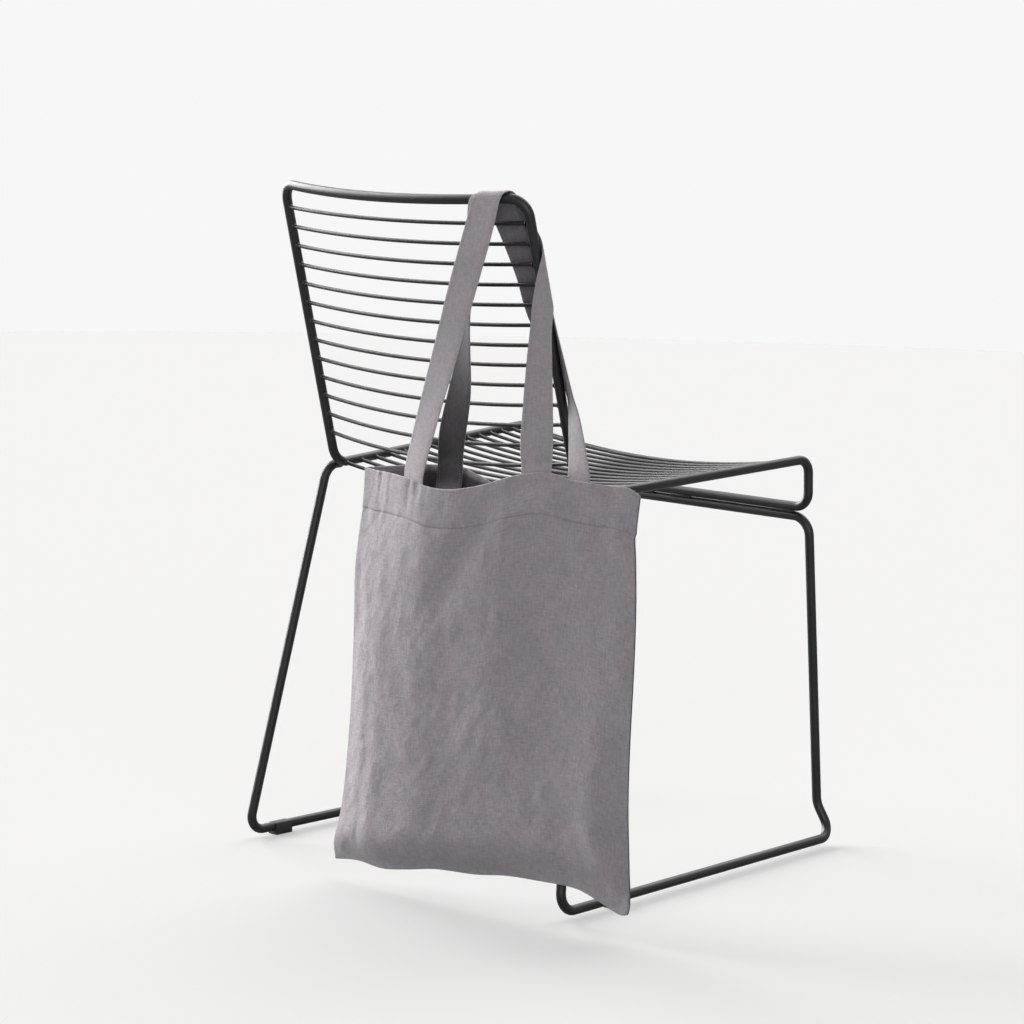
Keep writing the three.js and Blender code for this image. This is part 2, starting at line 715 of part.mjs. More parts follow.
function strap(handle) {
  const side = PANELS[handle.panel];
  const left = FOOT.depths.map((depth) => footStation(side, handle.leftFoot, depth));
  const right = FOOT.depths.map((depth) => footStation(side, handle.rightFoot, depth)).reverse();
  const crossing = crossingStations(handle);
  const wrap = wrapStations(handle);
  const leftEnds = [middleOf(left[left.length - 1]), middleOf(crossing[0])];
  const rightEnds = [middleOf(wrap[wrap.length - 1]), middleOf(right[0])];
  const stations = [
    ...left,
    ...legStations(handle.leftLeg, leftEnds),
    ...crossing,
    ...wrap,
    ...legStations(handle.rightLeg, rightEnds),
    ...right,
  ];
  const lines = strapPlaces.map((_, j) => {
    const through = stations.map((station) => station[j]);
    return new THREE.CatmullRomCurve3(through, false, "centripetal");
  });
  const wrapFrom = left.length + handle.leftLeg.length + crossing.length;
  const wrapTo = wrapFrom + wrap.length - 1;
  const spans = stations.length - 1;
  const middles = [];
  for (let i = 0; i < spans; i += 1) {
    const parts = i >= wrapFrom && i < wrapTo ? 1 : STRAP.stepsPerStation;
    for (let k = 0; k < parts; k += 1) {
      middles.push(lines.map((line) => line.getPoint((i + k / parts) / spans)));
    }
  }
  middles.push(stations[spans]);
  const normals = middles.map((line, i) => {
    const next = middles[Math.min(i + 1, middles.length - 1)];
    const last = middles[Math.max(i - 1, 0)];
    return line.map((_, j) => {
      const alongRun = next[j].clone().sub(last[j]);
      const acrossRun = line[Math.min(j + 1, STRAP.cells)].clone().sub(line[Math.max(j - 1, 0)]);
      return alongRun.cross(acrossRun).normalize();
    });
  });
  return sheet(middles, normals, STRAP.thickness);
}

add("front_handle", strap(FRONT_HANDLE), linen);
add("back_handle", strap(BACK_HANDLE), linen);

// The object's origin is the bottom centre of its bounding box.
const box = new THREE.Box3().setFromObject(group);
const middle = box.getCenter(new THREE.Vector3());
group.children.forEach((mesh) => mesh.geometry.translate(-middle.x, -middle.y, -box.min.z));

export default group;
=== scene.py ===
"""A linen tote bag hung by both handles over the top corner of a wire chair's back.

Sizes in the tables are millimetres in the chair's own frame: the chair faces +Y, its feet stand
on z = 0 and x = 0 is its middle. hand_over() moves each finished piece into the part's frame.
"""

import math

import bmesh
import bpy
import numpy as np
from bpy.props import FloatProperty, FloatVectorProperty, IntProperty, PointerProperty
from mathutils import Matrix, Vector


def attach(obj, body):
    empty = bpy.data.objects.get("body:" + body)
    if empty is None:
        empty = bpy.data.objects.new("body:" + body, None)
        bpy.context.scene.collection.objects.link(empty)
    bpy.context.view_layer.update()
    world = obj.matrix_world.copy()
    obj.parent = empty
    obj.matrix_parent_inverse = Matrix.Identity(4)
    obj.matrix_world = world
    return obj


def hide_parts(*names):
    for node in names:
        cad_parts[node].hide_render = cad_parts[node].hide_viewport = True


bl_info = {
    "name": "Linen tote on a wire chair",
    "version": (1, 0, 0),
    "blender": (4, 5, 0),
    "location": "View3D > Sidebar > Tote",
    "description": "Builds a linen tote bag that hangs on a wire chair, with its stage",
    "category": "Object",
}

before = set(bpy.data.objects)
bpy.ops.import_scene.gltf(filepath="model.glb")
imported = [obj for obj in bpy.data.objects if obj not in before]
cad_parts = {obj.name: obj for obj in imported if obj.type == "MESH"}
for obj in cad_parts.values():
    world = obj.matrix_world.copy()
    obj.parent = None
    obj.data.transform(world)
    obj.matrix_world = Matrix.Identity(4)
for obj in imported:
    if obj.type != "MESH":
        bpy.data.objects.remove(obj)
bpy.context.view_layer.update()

MM = 0.001
# From the chair's frame to the part's frame, whose origin is the bottom centre of the whole.
SHIFT = Vector((-49.077, 15.107, -2.5)) * MM

# ---------------------------------------------------------------- the chair's run of tube
TOP = dict(x=187.3, y=-246.0, z=784.0, bend=22.0)
SEAT_BACK = dict(x=191.0, y=-155.0, z=454.0, bend=25.0)
SEAT_FRONT = dict(x=223.0, y=216.0, z=472.0, bend=17.0)
APRON = dict(x=223.0, y=219.0, z=413.0, bend=19.0)
TOP_BAR_BOW = 27.5
LEG_STUB = dict(x=204.8, y=-134.0, z=451.5)
REAR_KNEE = dict(x=203.0, y=-157.0, z=451.5, bend=20.0)
REAR_FOOT = dict(x=249.0, y=-236.0, z=12.0, bend=20.0)
FRONT_FOOT = dict(x=240.0, y=266.0, z=12.0, bend=20.0)
FRONT_ANKLE = dict(x=220.0, y=260.0, z=50.0, bend=30.0)
FRONT_KNEE = dict(x=223.5, y=220.0, z=401.5, bend=22.0)
# Where the corner's bend aims on the half top bar, and the bow's spin steps.
TOP_BAR_AIM = 0.8
TOP_BAR_STEPS = 12
# Degrees of a bend in one step of its spin.
BEND_STEP = 7.0
# The softly rounded end of a tube: each ring's step by the radius, and its size.
TUBE_END = ((0.12, 0.88), (0.06, 0.6))
TUBE_SHADE = 50
# How near points are that merge, at the mirror's middle and in a whole piece.
MIRROR_MERGE = 0.05
DOUBLES = 0.01
# Welds in the groove between the two front bars: from and to in mm off the middle.
FRONT_WELDS = ((12.0, 47.0), (167.0, 204.0))
WELD = dict(y=216.4, z=407.3, thick=2.1, sides=16, round=0.8)

BACK_RODS = dict(
    count=13, first=28.0, pitch=22.8, bow_top=21.0, bow_middle=14.0, bow_bottom=17.0,
    tilt_top=15.0, tilt_bottom=55.0,
)
SEAT_RODS = dict(
    count=16, rear=14.5, rear_pitch=27.0, front_pitch=21.1, dip_rear=14.5, dip_front=21.0,
    last_back=4.2, last_drop=2.6,
)
ROD = dict(sides=14, steps=10, inset=2.4)
# The weld at a rod's end, a collar that spreads on the tube: each ring's step and spread.
ROD_COLLAR = ((0.9, 1.04), (0.7, 1.14), (0.6, 1.24), (0.7, 1.2))
GLIDE = dict(
    length=25.0, wall=1.8, gap=0.2, sole=4.0, flat=7.0, waist=1.5, edge=1.0, bore=60.0, round=0.5,
)
GLIDE_RIM_ANGLE = 40.0
GLIDE_SHADE = 40
GLIDE_PLACES = (("rear_left", -1, 0.103), ("rear_right", 1, 0.19), ("front_left", -1, 0.9))

# ---------------------------------------------------------------- the bag
BAG = dict(x=130.0, heading=5.0, rim_y=-250.0, rim_z=480.0, foot_y=-264.0, foot_z=30.0)
SEAM_STAND = 1.0
# The cloth's own height and width, for its creases, weave and stitches.
HEIGHT = 446.0
WIDTH = 385.0
PANEL_COLUMNS = 161
# How far a cloth's edge stands out, by half its thickness.
EDGE_STAND = 0.8

# Side edges by height: distance of each from the bag's hanging line.
SIDES = (
    (25, -184, 221), (45, -187, 225), (84, -178, 222), (149, -172, 217), (215, -169, 215.5),
    (300, -169, 216), (360, -170, 215), (410, -165, 212), (438, -161, 209.5), (480, -160, 212.5),
)
# Bottom seam's height by share of the width.
BOTTOM = (
    (0, 25), (0.08, 28.5), (0.17, 25.5), (0.26, 30.5), (0.36, 38), (0.5, 42), (0.6, 48),
    (0.7, 50), (0.83, 50.5), (0.91, 41.5), (0.96, 34.5), (0.985, 32.5), (1, 34),
)
# Rims by share of the width: height, and distance off the seam plane.
FRONT_RIM = (
    (0, 474.5, 0), (0.07, 474, 9), (0.15, 475, 22), (0.25, 474, 36), (0.33, 469, 43),
    (0.42, 469, 43), (0.52, 477, 38), (0.62, 490, 30), (0.72, 496.5, 22.5), (0.8, 490.5, 16),
    (0.9, 488, 8), (0.97, 487, 3), (1, 482.5, 0),
)
BACK_RIM = (
    (0, 474.5, 0), (0.08, 477.5, 15), (0.18, 481, 31), (0.27, 482.5, 35), (0.36, 475, 33),
    (0.46, 466, 28), (0.56, 466, 29), (0.66, 476, 34), (0.74, 481, 30), (0.84, 479, 19),
    (0.93, 479, 9), (1, 482.5, 0),
)
# Belly of each panel off the seam plane: share of the width, front, back.
BELLY = (
    (0, 0, 0), (0.04, 8, 5), (0.1, 17.5, 8.5), (0.145, 24.2, 9.5), (0.19, 26.2, 10),
    (0.28, 29.2, 10), (0.36, 29.3, 9), (0.5, 25, 10), (0.65, 18, 9.5), (0.8, 11, 7.5),
    (0.92, 5.5, 5), (1, 0, 0),
)
# By share of the height: where the belly is full above the bottom seam, and where the rim's
# opening begins.
BOTTOM_ROLL = 0.13
RIM_START = 0.42
# Soft folds: place at the rim and at the bottom, half width, rise, lowest, highest. They fade
# in and out by these shares of the height.
FOLD_START = 0.15
FOLD_END = 0.12
FRONT_FOLDS = (
    (0.07, 0.08, 0.035, 2, 0.1, 0.97),
    (0.56, -0.03, 0.06, -5, 0.6, 1.0),
    (0.4, 0.42, 0.07, -2, 0.1, 0.7),
    (0.62, 0.5, 0.09, 2.5, 0.2, 0.98),
    (0.75, 0.72, 0.1, -2.5, 0.2, 0.8),
    (0.86, 0.9, 0.05, 2, 0.02, 0.5),
    (0.7, 0.95, 0.06, 4, 0.0, 0.3),
)
BACK_FOLDS = (
    (0.1, 0.12, 0.06, 3, 0.1, 0.95),
    (0.3, 0.27, 0.08, -4, 0.2, 0.9),
    (0.5, 0.46, 0.1, 3.5, 0.15, 0.95),
    (0.68, 0.7, 0.08, -3.5, 0.2, 0.9),
    (0.85, 0.88, 0.05, 2, 0.1, 0.8),
)

# ---------------------------------------------------------------- the cloth's small shape
# Creases: depth, slant, and the width and height of one.
CREASES = (
    (1.1, 0.0, 52, 95), (0.55, 0.35, 24, 40), (0.5, -0.2, 11, 19), (0.22, 0.0, 5.5, 8),
)
RIDGE = dict(rise=0.7, level=0.35, slant=0.3, wide=27, high=34)
# The share of the width and of the height beside the seams that stays calm; how much of the
# creases the stiff hem keeps; its added thickness; how deep its stitches pull it in.
SEAM_CALM = 0.035
HEM_LOOSE = 0.7
HEM_EXTRA = 0.55
HEM_PULL = 0.85
# How far the hem stands past the right and the left seam, and the rim's worn right corner.
HEM_ENDS = (1.2, 0.7)
WORN_CORNER = 3.0
# Puckers: their depth, their width, and how far they reach from their seam.
PUCKER = dict(hem=0.75, rim=0.35, side=0.55, foot=0.9)
PUCKER_WIDTH = dict(hem=8.5, fine=4, side=11, foot=15, gather=7.5)
PUCKER_REACH = dict(hem=9.0, rim=6.0, side=11.0, foot=16.0, gather=24.0)
# Gathers of the rim, over the left foot of the front handle and elsewhere, and the share of the
# width between the two.
GATHER = 1.1
GATHER_PLAIN = 0.4
GATHER_END = (0.3, 0.45)

# ---------------------------------------------------------------- the linen's look
# Painted shade: how much darker the cloth's colour is made where little light comes. On the
# handles, along their run: the tone, where it sets in and where it ends.
INSIDE_PAINTED_SHADE = 0.88
HEM_LINE_PAINTED_SHADE = 0.16
LEG_PAINTED_SHADE = (0.84, (0, 30), (250, 330))
WRAP_PAINTED_SHADE = (0.6, (350, 380), (600, 640))
# The threads of the leg with painted shade: their share of its painted shade, the heights
# between which they are darkened, and their rightmost place.
THREAD_PAINTED_SHADE = dict(share=0.9, top=(740.0, 660.0), bottom=(470.0, 490.0), right=150.0)
# The linens: share of the yarn's colour, yarns per metre, depth of relief, slubs.
LINENS = (
    ("linen_panel", 1.0, 1500.0, 0.0016, 0.5), ("linen_strap", 1.04, 1500.0, 0.0010, 0.45),
    ("sewing_thread", 0.82, 4000.0, 0.0002, 0.3),
)
# The yarn's two hues, and the sizes of its patterns.
COOL = (0.95, 1.0, 1.0)
WARM = (1.05, 0.985, 1.0)
YARN_WANDER = 0.0011
SLUB_SCALES = ((110, 520, 1), (480, 100, 1))
CREASE_SCALE = (70, 46, 1)
FINE_CREASE_SCALE = (210, 150, 1)
HUE_SCALE = (34, 27, 1)
MOTTLE_SCALE = 30.0
# How much each pattern adds to the relief and to the tone.
RISE = dict(yarn=0.10, slub=0.55, fine=0.5)
TONE = dict(yarn=0.05, slub=1.35, mottle=0.2)

# ---------------------------------------------------------------- the handles
FOOT_DEPTHS = (40.0, 20.0, 1.0, -9.0)
FOOT_GAP = 0.9
CAD_CLOTH = 1.5
CAD_STRAP = 1.2
UNDER_STRAP_GAP = 0.35
STRAP_STACK_GAP = 0.35
STRAP_CELLS = 24
STRAP_STEP = 3.0
WRAP_STEP = 8.0
# Where a strap meets the upright, in degrees round it, and where the outer one settles on it.
ARRIVE_ANGLE = 101.0
SETTLE = (9.0, 26.0)
# Rows of a leg: place of the strap's middle and its heading. Rows of a wrap: place down the
# upright and place round it.
FRONT_HANDLE = dict(
    side="front", seed=5, left_foot=(0.258, 1), right_foot=(0.686, -1),
    crossing=(146.0, 9.0), layer=1, depart=5.0,
    left_leg=((88, -283, 560, -3), (105.5, -278.5, 622, 5), (123, -273, 690, 12),
              (139.5, -267.5, 752, 12)),
    wrap=((14, -30), (35, -20), (55, -10.5), (75, 0), (95, 11.2), (112, 22)),
    right_leg=((200, -232.5, 645, -88), (205.5, -240, 610, -98), (215.5, -252, 560, -115),
               (222.5, -260.5, 522, -133)),
)
BACK_HANDLE = dict(
    side="back", seed=25, left_foot=(0.25, 1), right_foot=(0.735, 1),
    crossing=(141.0, 8.0), layer=0, depart=54.0,
    left_leg=((67, -228, 515, 8), (85, -235, 570, -5), (104, -244, 642, -41),
              (110, -247.5, 668, -46), (117, -252, 697, -38), (125.5, -257, 728, -16),
              (135, -261, 757, 9)),
    wrap=((14, -36), (50, -26), (90, -17), (125, -13), (155, -4.5), (180, 6), (205, 17),
          (222, 24.5)),
    right_leg=((219.5, -199, 548, -30), (230.5, -205, 517, -19)),
)

# ---------------------------------------------------------------- the sewing
THREAD = 0.26
STITCH_THREAD = 0.74
STITCH_GAP = 0.26
STITCH_LIFT = 0.02
STITCH_SIDES = 5
# Stitched lines of a hem: from, to and number of points. The second is near the left foot.
HEM_SEAM = (0.012, 0.988, 260)
SECOND_HEM_SEAM = (0.29, 0.52, 70)
# Rings of one stitch: place by half its length, width and lift.
STITCH_RINGS = (
    (-1.0, 0.25, -0.16), (-0.72, 0.85, 0.02), (0.0, 1.0, 0.12), (0.72, 0.85, 0.02),
    (1.0, 0.25, -0.16),
)
THREAD_UV = np.array((0.0003, 0.00017))
# From the strap's edge to its stitches, at the edges and at the feet; below the rim; above the
# hem's stitches.
EDGE_SEAM = 3.2
FOOT_SEAM = 3.0
FOOT_SEAM_DEPTH = 7.0
SECOND_SEAM = 4.6

# ---------------------------------------------------------------- the photograph's view
CAMERA = dict(
    place=(2.3894, -2.6994, 0.9258), heading=42.51, pitch=8.20, roll=1.19, lens=110.23,
    sensor=36, end=60,
)
# Wide soft lights: a window high on the left, the ceiling, and a weak one behind the camera.
LAMPS = (
    ("window", (-0.92, -0.05, 0.36), 50), ("ceiling", (-0.35, 0.75, 1.0), 60),
    ("front", (0.74, -0.66, 0.08), 60),
)


# ================================================================ what a user would change
LENGTH = dict(unit="LENGTH", subtype="DISTANCE")
COLOUR = dict(size=3, min=0.0, max=1.0, subtype="COLOR")
SHARE = dict(min=0.0, max=1.0, subtype="FACTOR")


class ChairSizes(bpy.types.PropertyGroup):
    tube_radius: FloatProperty(
        name="Tube radius", description="Half the diameter of the bent tube",
        default=5.5 * MM, min=3 * MM, max=8 * MM, **LENGTH,
    )
    rod_radius: FloatProperty(
        name="Rod radius", description="Half the diameter of the rods of the back and the seat",
        default=2.25 * MM, min=1 * MM, max=4 * MM, **LENGTH,
    )
    tube_sides: IntProperty(
        name="Tube sides", description="Faces round a tube", default=28, min=12, max=64,
    )
    coat_colour: FloatVectorProperty(
        name="Coat", description="Colour of the powder coat",
        default=(0.0075, 0.0078, 0.0085), **COLOUR,
    )
    glide_colour: FloatVectorProperty(
        name="Glides", description="Colour of the plastic glides",
        default=(0.018, 0.018, 0.019), **COLOUR,
    )


class ToteSizes(bpy.types.PropertyGroup):
    cloth: FloatProperty(
        name="Cloth", description="Thickness of the bag's linen",
        default=1.3 * MM, min=0.8 * MM, max=3 * MM, **LENGTH,
    )
    hem: FloatProperty(
        name="Hem", description="Depth of the hem below the rim",
        default=44 * MM, min=20 * MM, max=80 * MM, **LENGTH,
    )
    strap_width: FloatProperty(
        name="Strap width", description="Width of each handle",
        default=34 * MM, min=20 * MM, max=50 * MM, **LENGTH,
    )
    strap_thickness: FloatProperty(
        name="Strap thickness", description="Thickness of the folded linen of a handle",
        default=1.35 * MM, min=0.8 * MM, max=3 * MM, **LENGTH,
    )
    stitch: FloatProperty(
        name="Stitch", description="Length of one stitch with its gap",
        default=3.1 * MM, min=1.5 * MM, max=6 * MM, **LENGTH,
    )
    linen_colour: FloatVectorProperty(
        name="Linen", description="Colour of the yarn", default=(0.43, 0.408, 0.428), **COLOUR,
    )
    crumple: FloatProperty(
        name="Crumple", description="Depth of the small creases",
        default=1.0, min=0.0, max=3.0, subtype="FACTOR",
    )


class StageSettings(bpy.types.PropertyGroup):
    floor_tone: FloatProperty(
        name="Floor", description="Lightness of the floor as seen", default=0.38, **SHARE,
    )
    floor_glow: FloatProperty(
        name="Floor glow", description="Light that the floor adds where it is seen",
        default=0.38, min=0.0, max=2.0,
    )
    floor_bounce: FloatProperty(
        name="Floor bounce", description="Share of light that the floor throws back up",
        default=0.3, **SHARE,
    )
    backdrop: FloatProperty(
        name="Backdrop", description="Brightness of the white room as seen",
        default=0.935, min=0.0, max=3.0,
    )
    gloss: FloatProperty(
        name="Gloss", description="Brightness of the room in reflections",
        default=0.55, min=0.0, max=3.0,
    )
    room: FloatProperty(
        name="Room light", description="Brightness of the room as a light",
        default=0.1, min=0.0, max=3.0,
    )
    window: FloatProperty(
        name="Window light", description="Strength of the soft light on the left",
        default=6.4, min=0.0, max=100.0,
    )
    ceiling: FloatProperty(
        name="Ceiling light", description="Strength of the soft light from above",
        default=2.0, min=0.0, max=100.0,
    )
    front: FloatProperty(
        name="Front light", description="Strength of the weak light behind the camera",
        default=1.3, min=0.0, max=100.0,
    )


# ================================================================ small tools
def chair():
    return bpy.context.scene.tote_chair


def tote():
    return bpy.context.scene.tote_bag


def at(place, side=1):
    """A named place of the chair as a point in metres: side is +1, -1, or 0 for the middle."""
    return Vector((side * place["x"], place["y"], place["z"])) * MM


def only(obj):
    """Makes obj the one selected and active object."""
    bpy.ops.object.select_all(action="DESELECT")
    obj.select_set(True)
    bpy.context.view_layer.objects.active = obj


def primitive(kind, **values):
    """Adds a primitive, with everything else deselected, and returns it."""
    bpy.ops.object.select_all(action="DESELECT")
    getattr(bpy.ops.mesh, f"primitive_{kind}_add")(**values)
    return bpy.context.active_object


def edit(obj):
    only(obj)
    bpy.ops.object.mode_set(mode="EDIT")


def leave():
    bpy.ops.object.mode_set(mode="OBJECT")


def pick(obj, test):
    """Selects the vertices for which a test of their place holds, in edit mode."""
    edit(obj)
    bpy.ops.mesh.select_all(action="DESELECT")
    leave()
    for vertex in obj.data.vertices:
        vertex.select = test(vertex.co)
    edit(obj)


def apply_all(obj):
    only(obj)
    bpy.ops.object.transform_apply(location=True, rotation=True, scale=True)


def modify(obj, kind, **values):
    """Adds a modifier with its values and applies it."""
    only(obj)
    modifier = obj.modifiers.new(kind.lower(), kind)
    for key, value in values.items():
        setattr(modifier, key, value)
    bpy.ops.object.modifier_apply(modifier=modifier.name)


def outwards(obj):
    """Merges doubles and turns every face of a closed piece out."""
    edit(obj)
    bpy.ops.mesh.select_all(action="SELECT")
    bpy.ops.mesh.remove_doubles(threshold=DOUBLES * MM)
    bpy.ops.mesh.normals_make_consistent(inside=False)
    leave()


def shade_by_angle(obj, degrees):
    only(obj)
    bpy.ops.object.shade_smooth_by_angle(angle=math.radians(degrees))


def hand_over(obj, material, slot, *nodes):
    """Moves a finished piece from the chair's frame into the part's, with its origin at the
    part's, and gives it its material and its body, and hides the nodes that it stands for."""
    obj.location = obj.location + SHIFT
    apply_all(obj)
    obj.data.materials.clear()
    obj.data.materials.append(material)
    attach(obj, "root")
    if nodes:
        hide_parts(*nodes)


def read(rows, value, column):
    """Values of a table's column at a key, smooth between its rows."""
    table = np.asarray(rows, float)
    keys, column = table[:, 0], table[:, column]
    value = np.asarray(value, float)
    i = np.searchsorted(keys[1:-1], value, side="left")
    before, after = np.maximum(i - 1, 0), np.minimum(i + 2, len(keys) - 1)
    span = keys[i + 1] - keys[i]
    t = np.clip((value - keys[i]) / span, 0, 1)
    slope_a = (column[i + 1] - column[before]) / (keys[i + 1] - keys[before])
    slope_b = (column[after] - column[i]) / (keys[after] - keys[i])
    t2, t3 = t * t, t * t * t
    start = (2 * t3 - 3 * t2 + 1) * column[i] + (t3 - 2 * t2 + t) * span * slope_a
    return start + (3 * t2 - 2 * t3) * column[i + 1] + (t3 - t2) * span * slope_b


def smooth(a, b, value):
    t = np.clip((np.asarray(value, float) - a) / (b - a), 0, 1)
    return t * t * (3 - 2 * t)


def bell(value, half):
    """A smooth hump from 1 at 0 down to nothing."""
    return np.exp(-((value / half) ** 2))


def fade(value, left, right):
    """From 0 at both ends of 0 to 1 up to 1, over a share at each end."""
    return smooth(0, left, value) * smooth(0, right, 1 - value)


def level(degrees):
    """A level direction, from +X towards +Y."""
    return np.array((math.cos(math.radians(degrees)), math.sin(math.radians(degrees)), 0.0))


def lerp(a, b, t):
    return a + (b - a) * t


def unit(vectors, least=0.0):
    """Vectors of length 1 along the last axis."""
    return vectors / np.maximum(np.linalg.norm(vectors, axis=-1, keepdims=True), least)


def rumple(x, y, cell_x, cell_y, seed):
    """Smooth seeded noise from -1 to 1 over a plane, for creases."""
    size = 64
    grid = np.random.default_rng(seed).uniform(-1, 1, (size, size))
    gx, gy = x / cell_x + 1000.0, y / cell_y + 1000.0
    ix, iy = np.floor(gx).astype(int), np.floor(gy).astype(int)
    fx, fy = (f * f * f * (f * (f * 6 - 15) + 10) for f in (gx - ix, gy - iy))
    a, b = grid[ix % size, iy % size], grid[(ix + 1) % size, iy % size]
    c, d = grid[ix % size, (iy + 1) % size], grid[(ix + 1) % size, (iy + 1) % size]
    return lerp(lerp(a, b, fx), lerp(c, d, fx), fy)


# ================================================================ materials
def feed(tree, made, inputs):
    """Gives a node's inputs their values, or links the sockets that they come from."""
    for key, value in inputs.items():
        if isinstance(value, bpy.types.NodeSocket):
            tree.links.new(value, made.inputs[key])
        else:
            made.inputs[key].default_value = value


def node(tree, kind, inputs=None, **values):
    """A shader node with its properties set and its inputs fed."""
    made = tree.nodes.new(kind)
    for key, value in values.items():
        setattr(made, key, value)
    feed(tree, made, inputs or {})
    return made


def arrange(tree):
    """Sets a tree's nodes in columns, from the output back to what feeds it."""
    column = {made.name: 0 for made in tree.nodes}
    for _ in tree.nodes:
        for link in tree.links:
            step = column[link.to_node.name] + 1
            column[link.from_node.name] = max(column[link.from_node.name], step)
    rows = {}
    for made in tree.nodes:
        place = column[made.name]
        rows[place] = rows.get(place, 0) + 1
        made.location = (-220 * place, -240 * rows[place])


def arithmetic(tree):
    """Add, subtract and multiply for numbers and sockets of a tree, each as a math node."""
    def make(operation):
        return lambda a, b: sum_node(tree, operation, a, b)

    return make("ADD"), make("SUBTRACT"), make("MULTIPLY")


def sum_node(tree, operation, *values):
    made = node(tree, "ShaderNodeMath", dict(enumerate(values)), operation=operation)
    return made.outputs[0]


def noise(tree, vector, scale, detail=2.0, roughness=0.5):
    """Noise with one scale, or with a scale for each axis."""
    if isinstance(scale, tuple):
        vector = node(tree, "ShaderNodeMapping", {"Vector": vector, "Scale": scale}).outputs[0]
        scale = 1.0
    inputs = {"Vector": vector, "Scale": scale, "Detail": detail, "Roughness": roughness}
    return node(tree, "ShaderNodeTexNoise", inputs).outputs["Fac"]


def new_group(name, inputs):
    """A node group and what comes in: a vector where no default is given, else a number."""
    group = bpy.data.node_groups.new(name, "ShaderNodeTree")
    for key, default in inputs.items():
        kind = "NodeSocketVector" if default is None else "NodeSocketFloat"
        made = group.interface.new_socket(name=key, in_out="INPUT", socket_type=kind)
        if default is not None:
            made.default_value = default
    return group, node(group, "NodeGroupInput").outputs


def put_out(group, **results):
    """Gives a group its outputs."""
    for key in results:
        group.interface.new_socket(name=key, in_out="OUTPUT", socket_type="NodeSocketFloat")
    node(group, "NodeGroupOutput", results)
    arrange(group)


def weave_group():
    """Plain linen weave: yarn relief, slubs along both yarns and a soft tone change."""
    group, source = new_group(
        "plain_weave", {"Cloth": None, "Yarns per metre": 1500.0, "Slubs": 0.5, "Crumple": 1.0},
    )
    add, subtract, times = arithmetic(group)
    cloth = source["Cloth"]
    split = node(group, "ShaderNodeSeparateXYZ", {0: cloth})
    # The yarns wander a little from straight.
    wander = times(noise(group, cloth, 60.0, 1.0), YARN_WANDER)
    waves = []
    for axis in ("X", "Y"):
        turns = times(add(split.outputs[axis], wander), source["Yarns per metre"])
        waves.append(sum_node(group, "SINE", times(turns, math.pi)))
    over = times(waves[0], waves[1])
    # Slubs: long thick stretches, across for the weft and up for the warp.
    weft, warp = (noise(group, cloth, scale, 3.0, 0.7) for scale in SLUB_SCALES)
    slub = times(subtract(add(weft, warp), 1.0), source["Slubs"])
    # Small soft creases left by washing.
    crease = noise(group, cloth, CREASE_SCALE, 4.0, 0.55)
    fine = noise(group, cloth, FINE_CREASE_SCALE, 3.0, 0.6)
    crease = times(add(crease, times(fine, RISE["fine"])), source["Crumple"])
    relief = add(add(times(over, RISE["yarn"]), times(slub, RISE["slub"])), crease)
    mottle = subtract(noise(group, cloth, MOTTLE_SCALE, 4.0), 0.5)
    tone = add(times(over, TONE["yarn"]), times(slub, TONE["slub"]))
    tone = add(tone, times(mottle, TONE["mottle"]))
    put_out(group, Height=relief, Tone=tone, Hue=noise(group, cloth, HUE_SCALE))


def grain_group():
    """Fine moulded or sprayed grain with a little dust in soft patches."""
    group, source = new_group(
        "fine_grain", {"Place": None, "Grain size": 900.0, "Patch size": 18.0},
    )
    grain = noise(group, source["Place"], source["Grain size"], 3.0)
    patch = noise(group, source["Place"], source["Patch size"], 4.0)
    span = {"Value": patch, "From Min": 0.42, "From Max": 0.72}
    dust = node(group, "ShaderNodeMapRange", span).outputs["Result"]
    put_out(group, Height=grain, Dust=dust)


def new_material(name, fixed):
    """A material with its tree and its shader, whose fixed sockets are set."""
    material = bpy.data.materials.new(name)
    material.use_nodes = True
    shader = material.node_tree.nodes["Principled BSDF"]
    feed(material.node_tree, shader, fixed)
    return material.node_tree, shader


def mixed(tree, factor, first, second):
    """A colour between two, by a factor that changes over the surface."""
    inputs = {"Factor": factor, "A": (*first, 1), "B": (*second, 1)}
    return node(tree, "ShaderNodeMix", inputs, data_type="RGBA").outputs["Result"]


def finish_material(tree, shader, colour, rough, height, strength, depth):
    """Leads the changing colour, roughness and relief to the shader."""
    bump = node(
        tree, "ShaderNodeBump", {"Strength": strength, "Distance": depth, "Height": height},
    )
    feed(tree, shader, {
        "Base Color": colour, "Roughness": rough, "Normal": bump.outputs["Normal"],
    })
    arrange(tree)


def linen_material(name, colour, yarns, depth, slubs):
    tree, shader = new_material(
        name, {"Sheen Weight": 0.18, "Sheen Roughness": 0.6, "Specular IOR Level": 0.2},
    )
    add, subtract, times = arithmetic(tree)
    uv = node(tree, "ShaderNodeUVMap", uv_map="cloth").outputs["UV"]
    weave = node(
        tree, "ShaderNodeGroup", {"Cloth": uv, "Yarns per metre": yarns, "Slubs": slubs},
        node_tree=bpy.data.node_groups["plain_weave"],
    ).outputs
    cool, warm = ([c * share for c, share in zip(colour, tint)] for tint in (COOL, WARM))
    tint = mixed(tree, weave["Hue"], cool, warm)
    # Painted shade: the cloth's colour is made darker on skins that little light reaches.
    dusk = node(tree, "ShaderNodeAttribute", attribute_name="dusk").outputs["Fac"]
    gain = times(add(weave["Tone"], 1.0), subtract(1.0, dusk))
    shade = node(tree, "ShaderNodeVectorMath", {0: tint, "Scale": gain}, operation="SCALE")
    rough = add(times(weave["Tone"], -0.3), 0.9)
    finish_material(tree, shader, shade.outputs["Vector"], rough, weave["Height"], 1.0, depth)


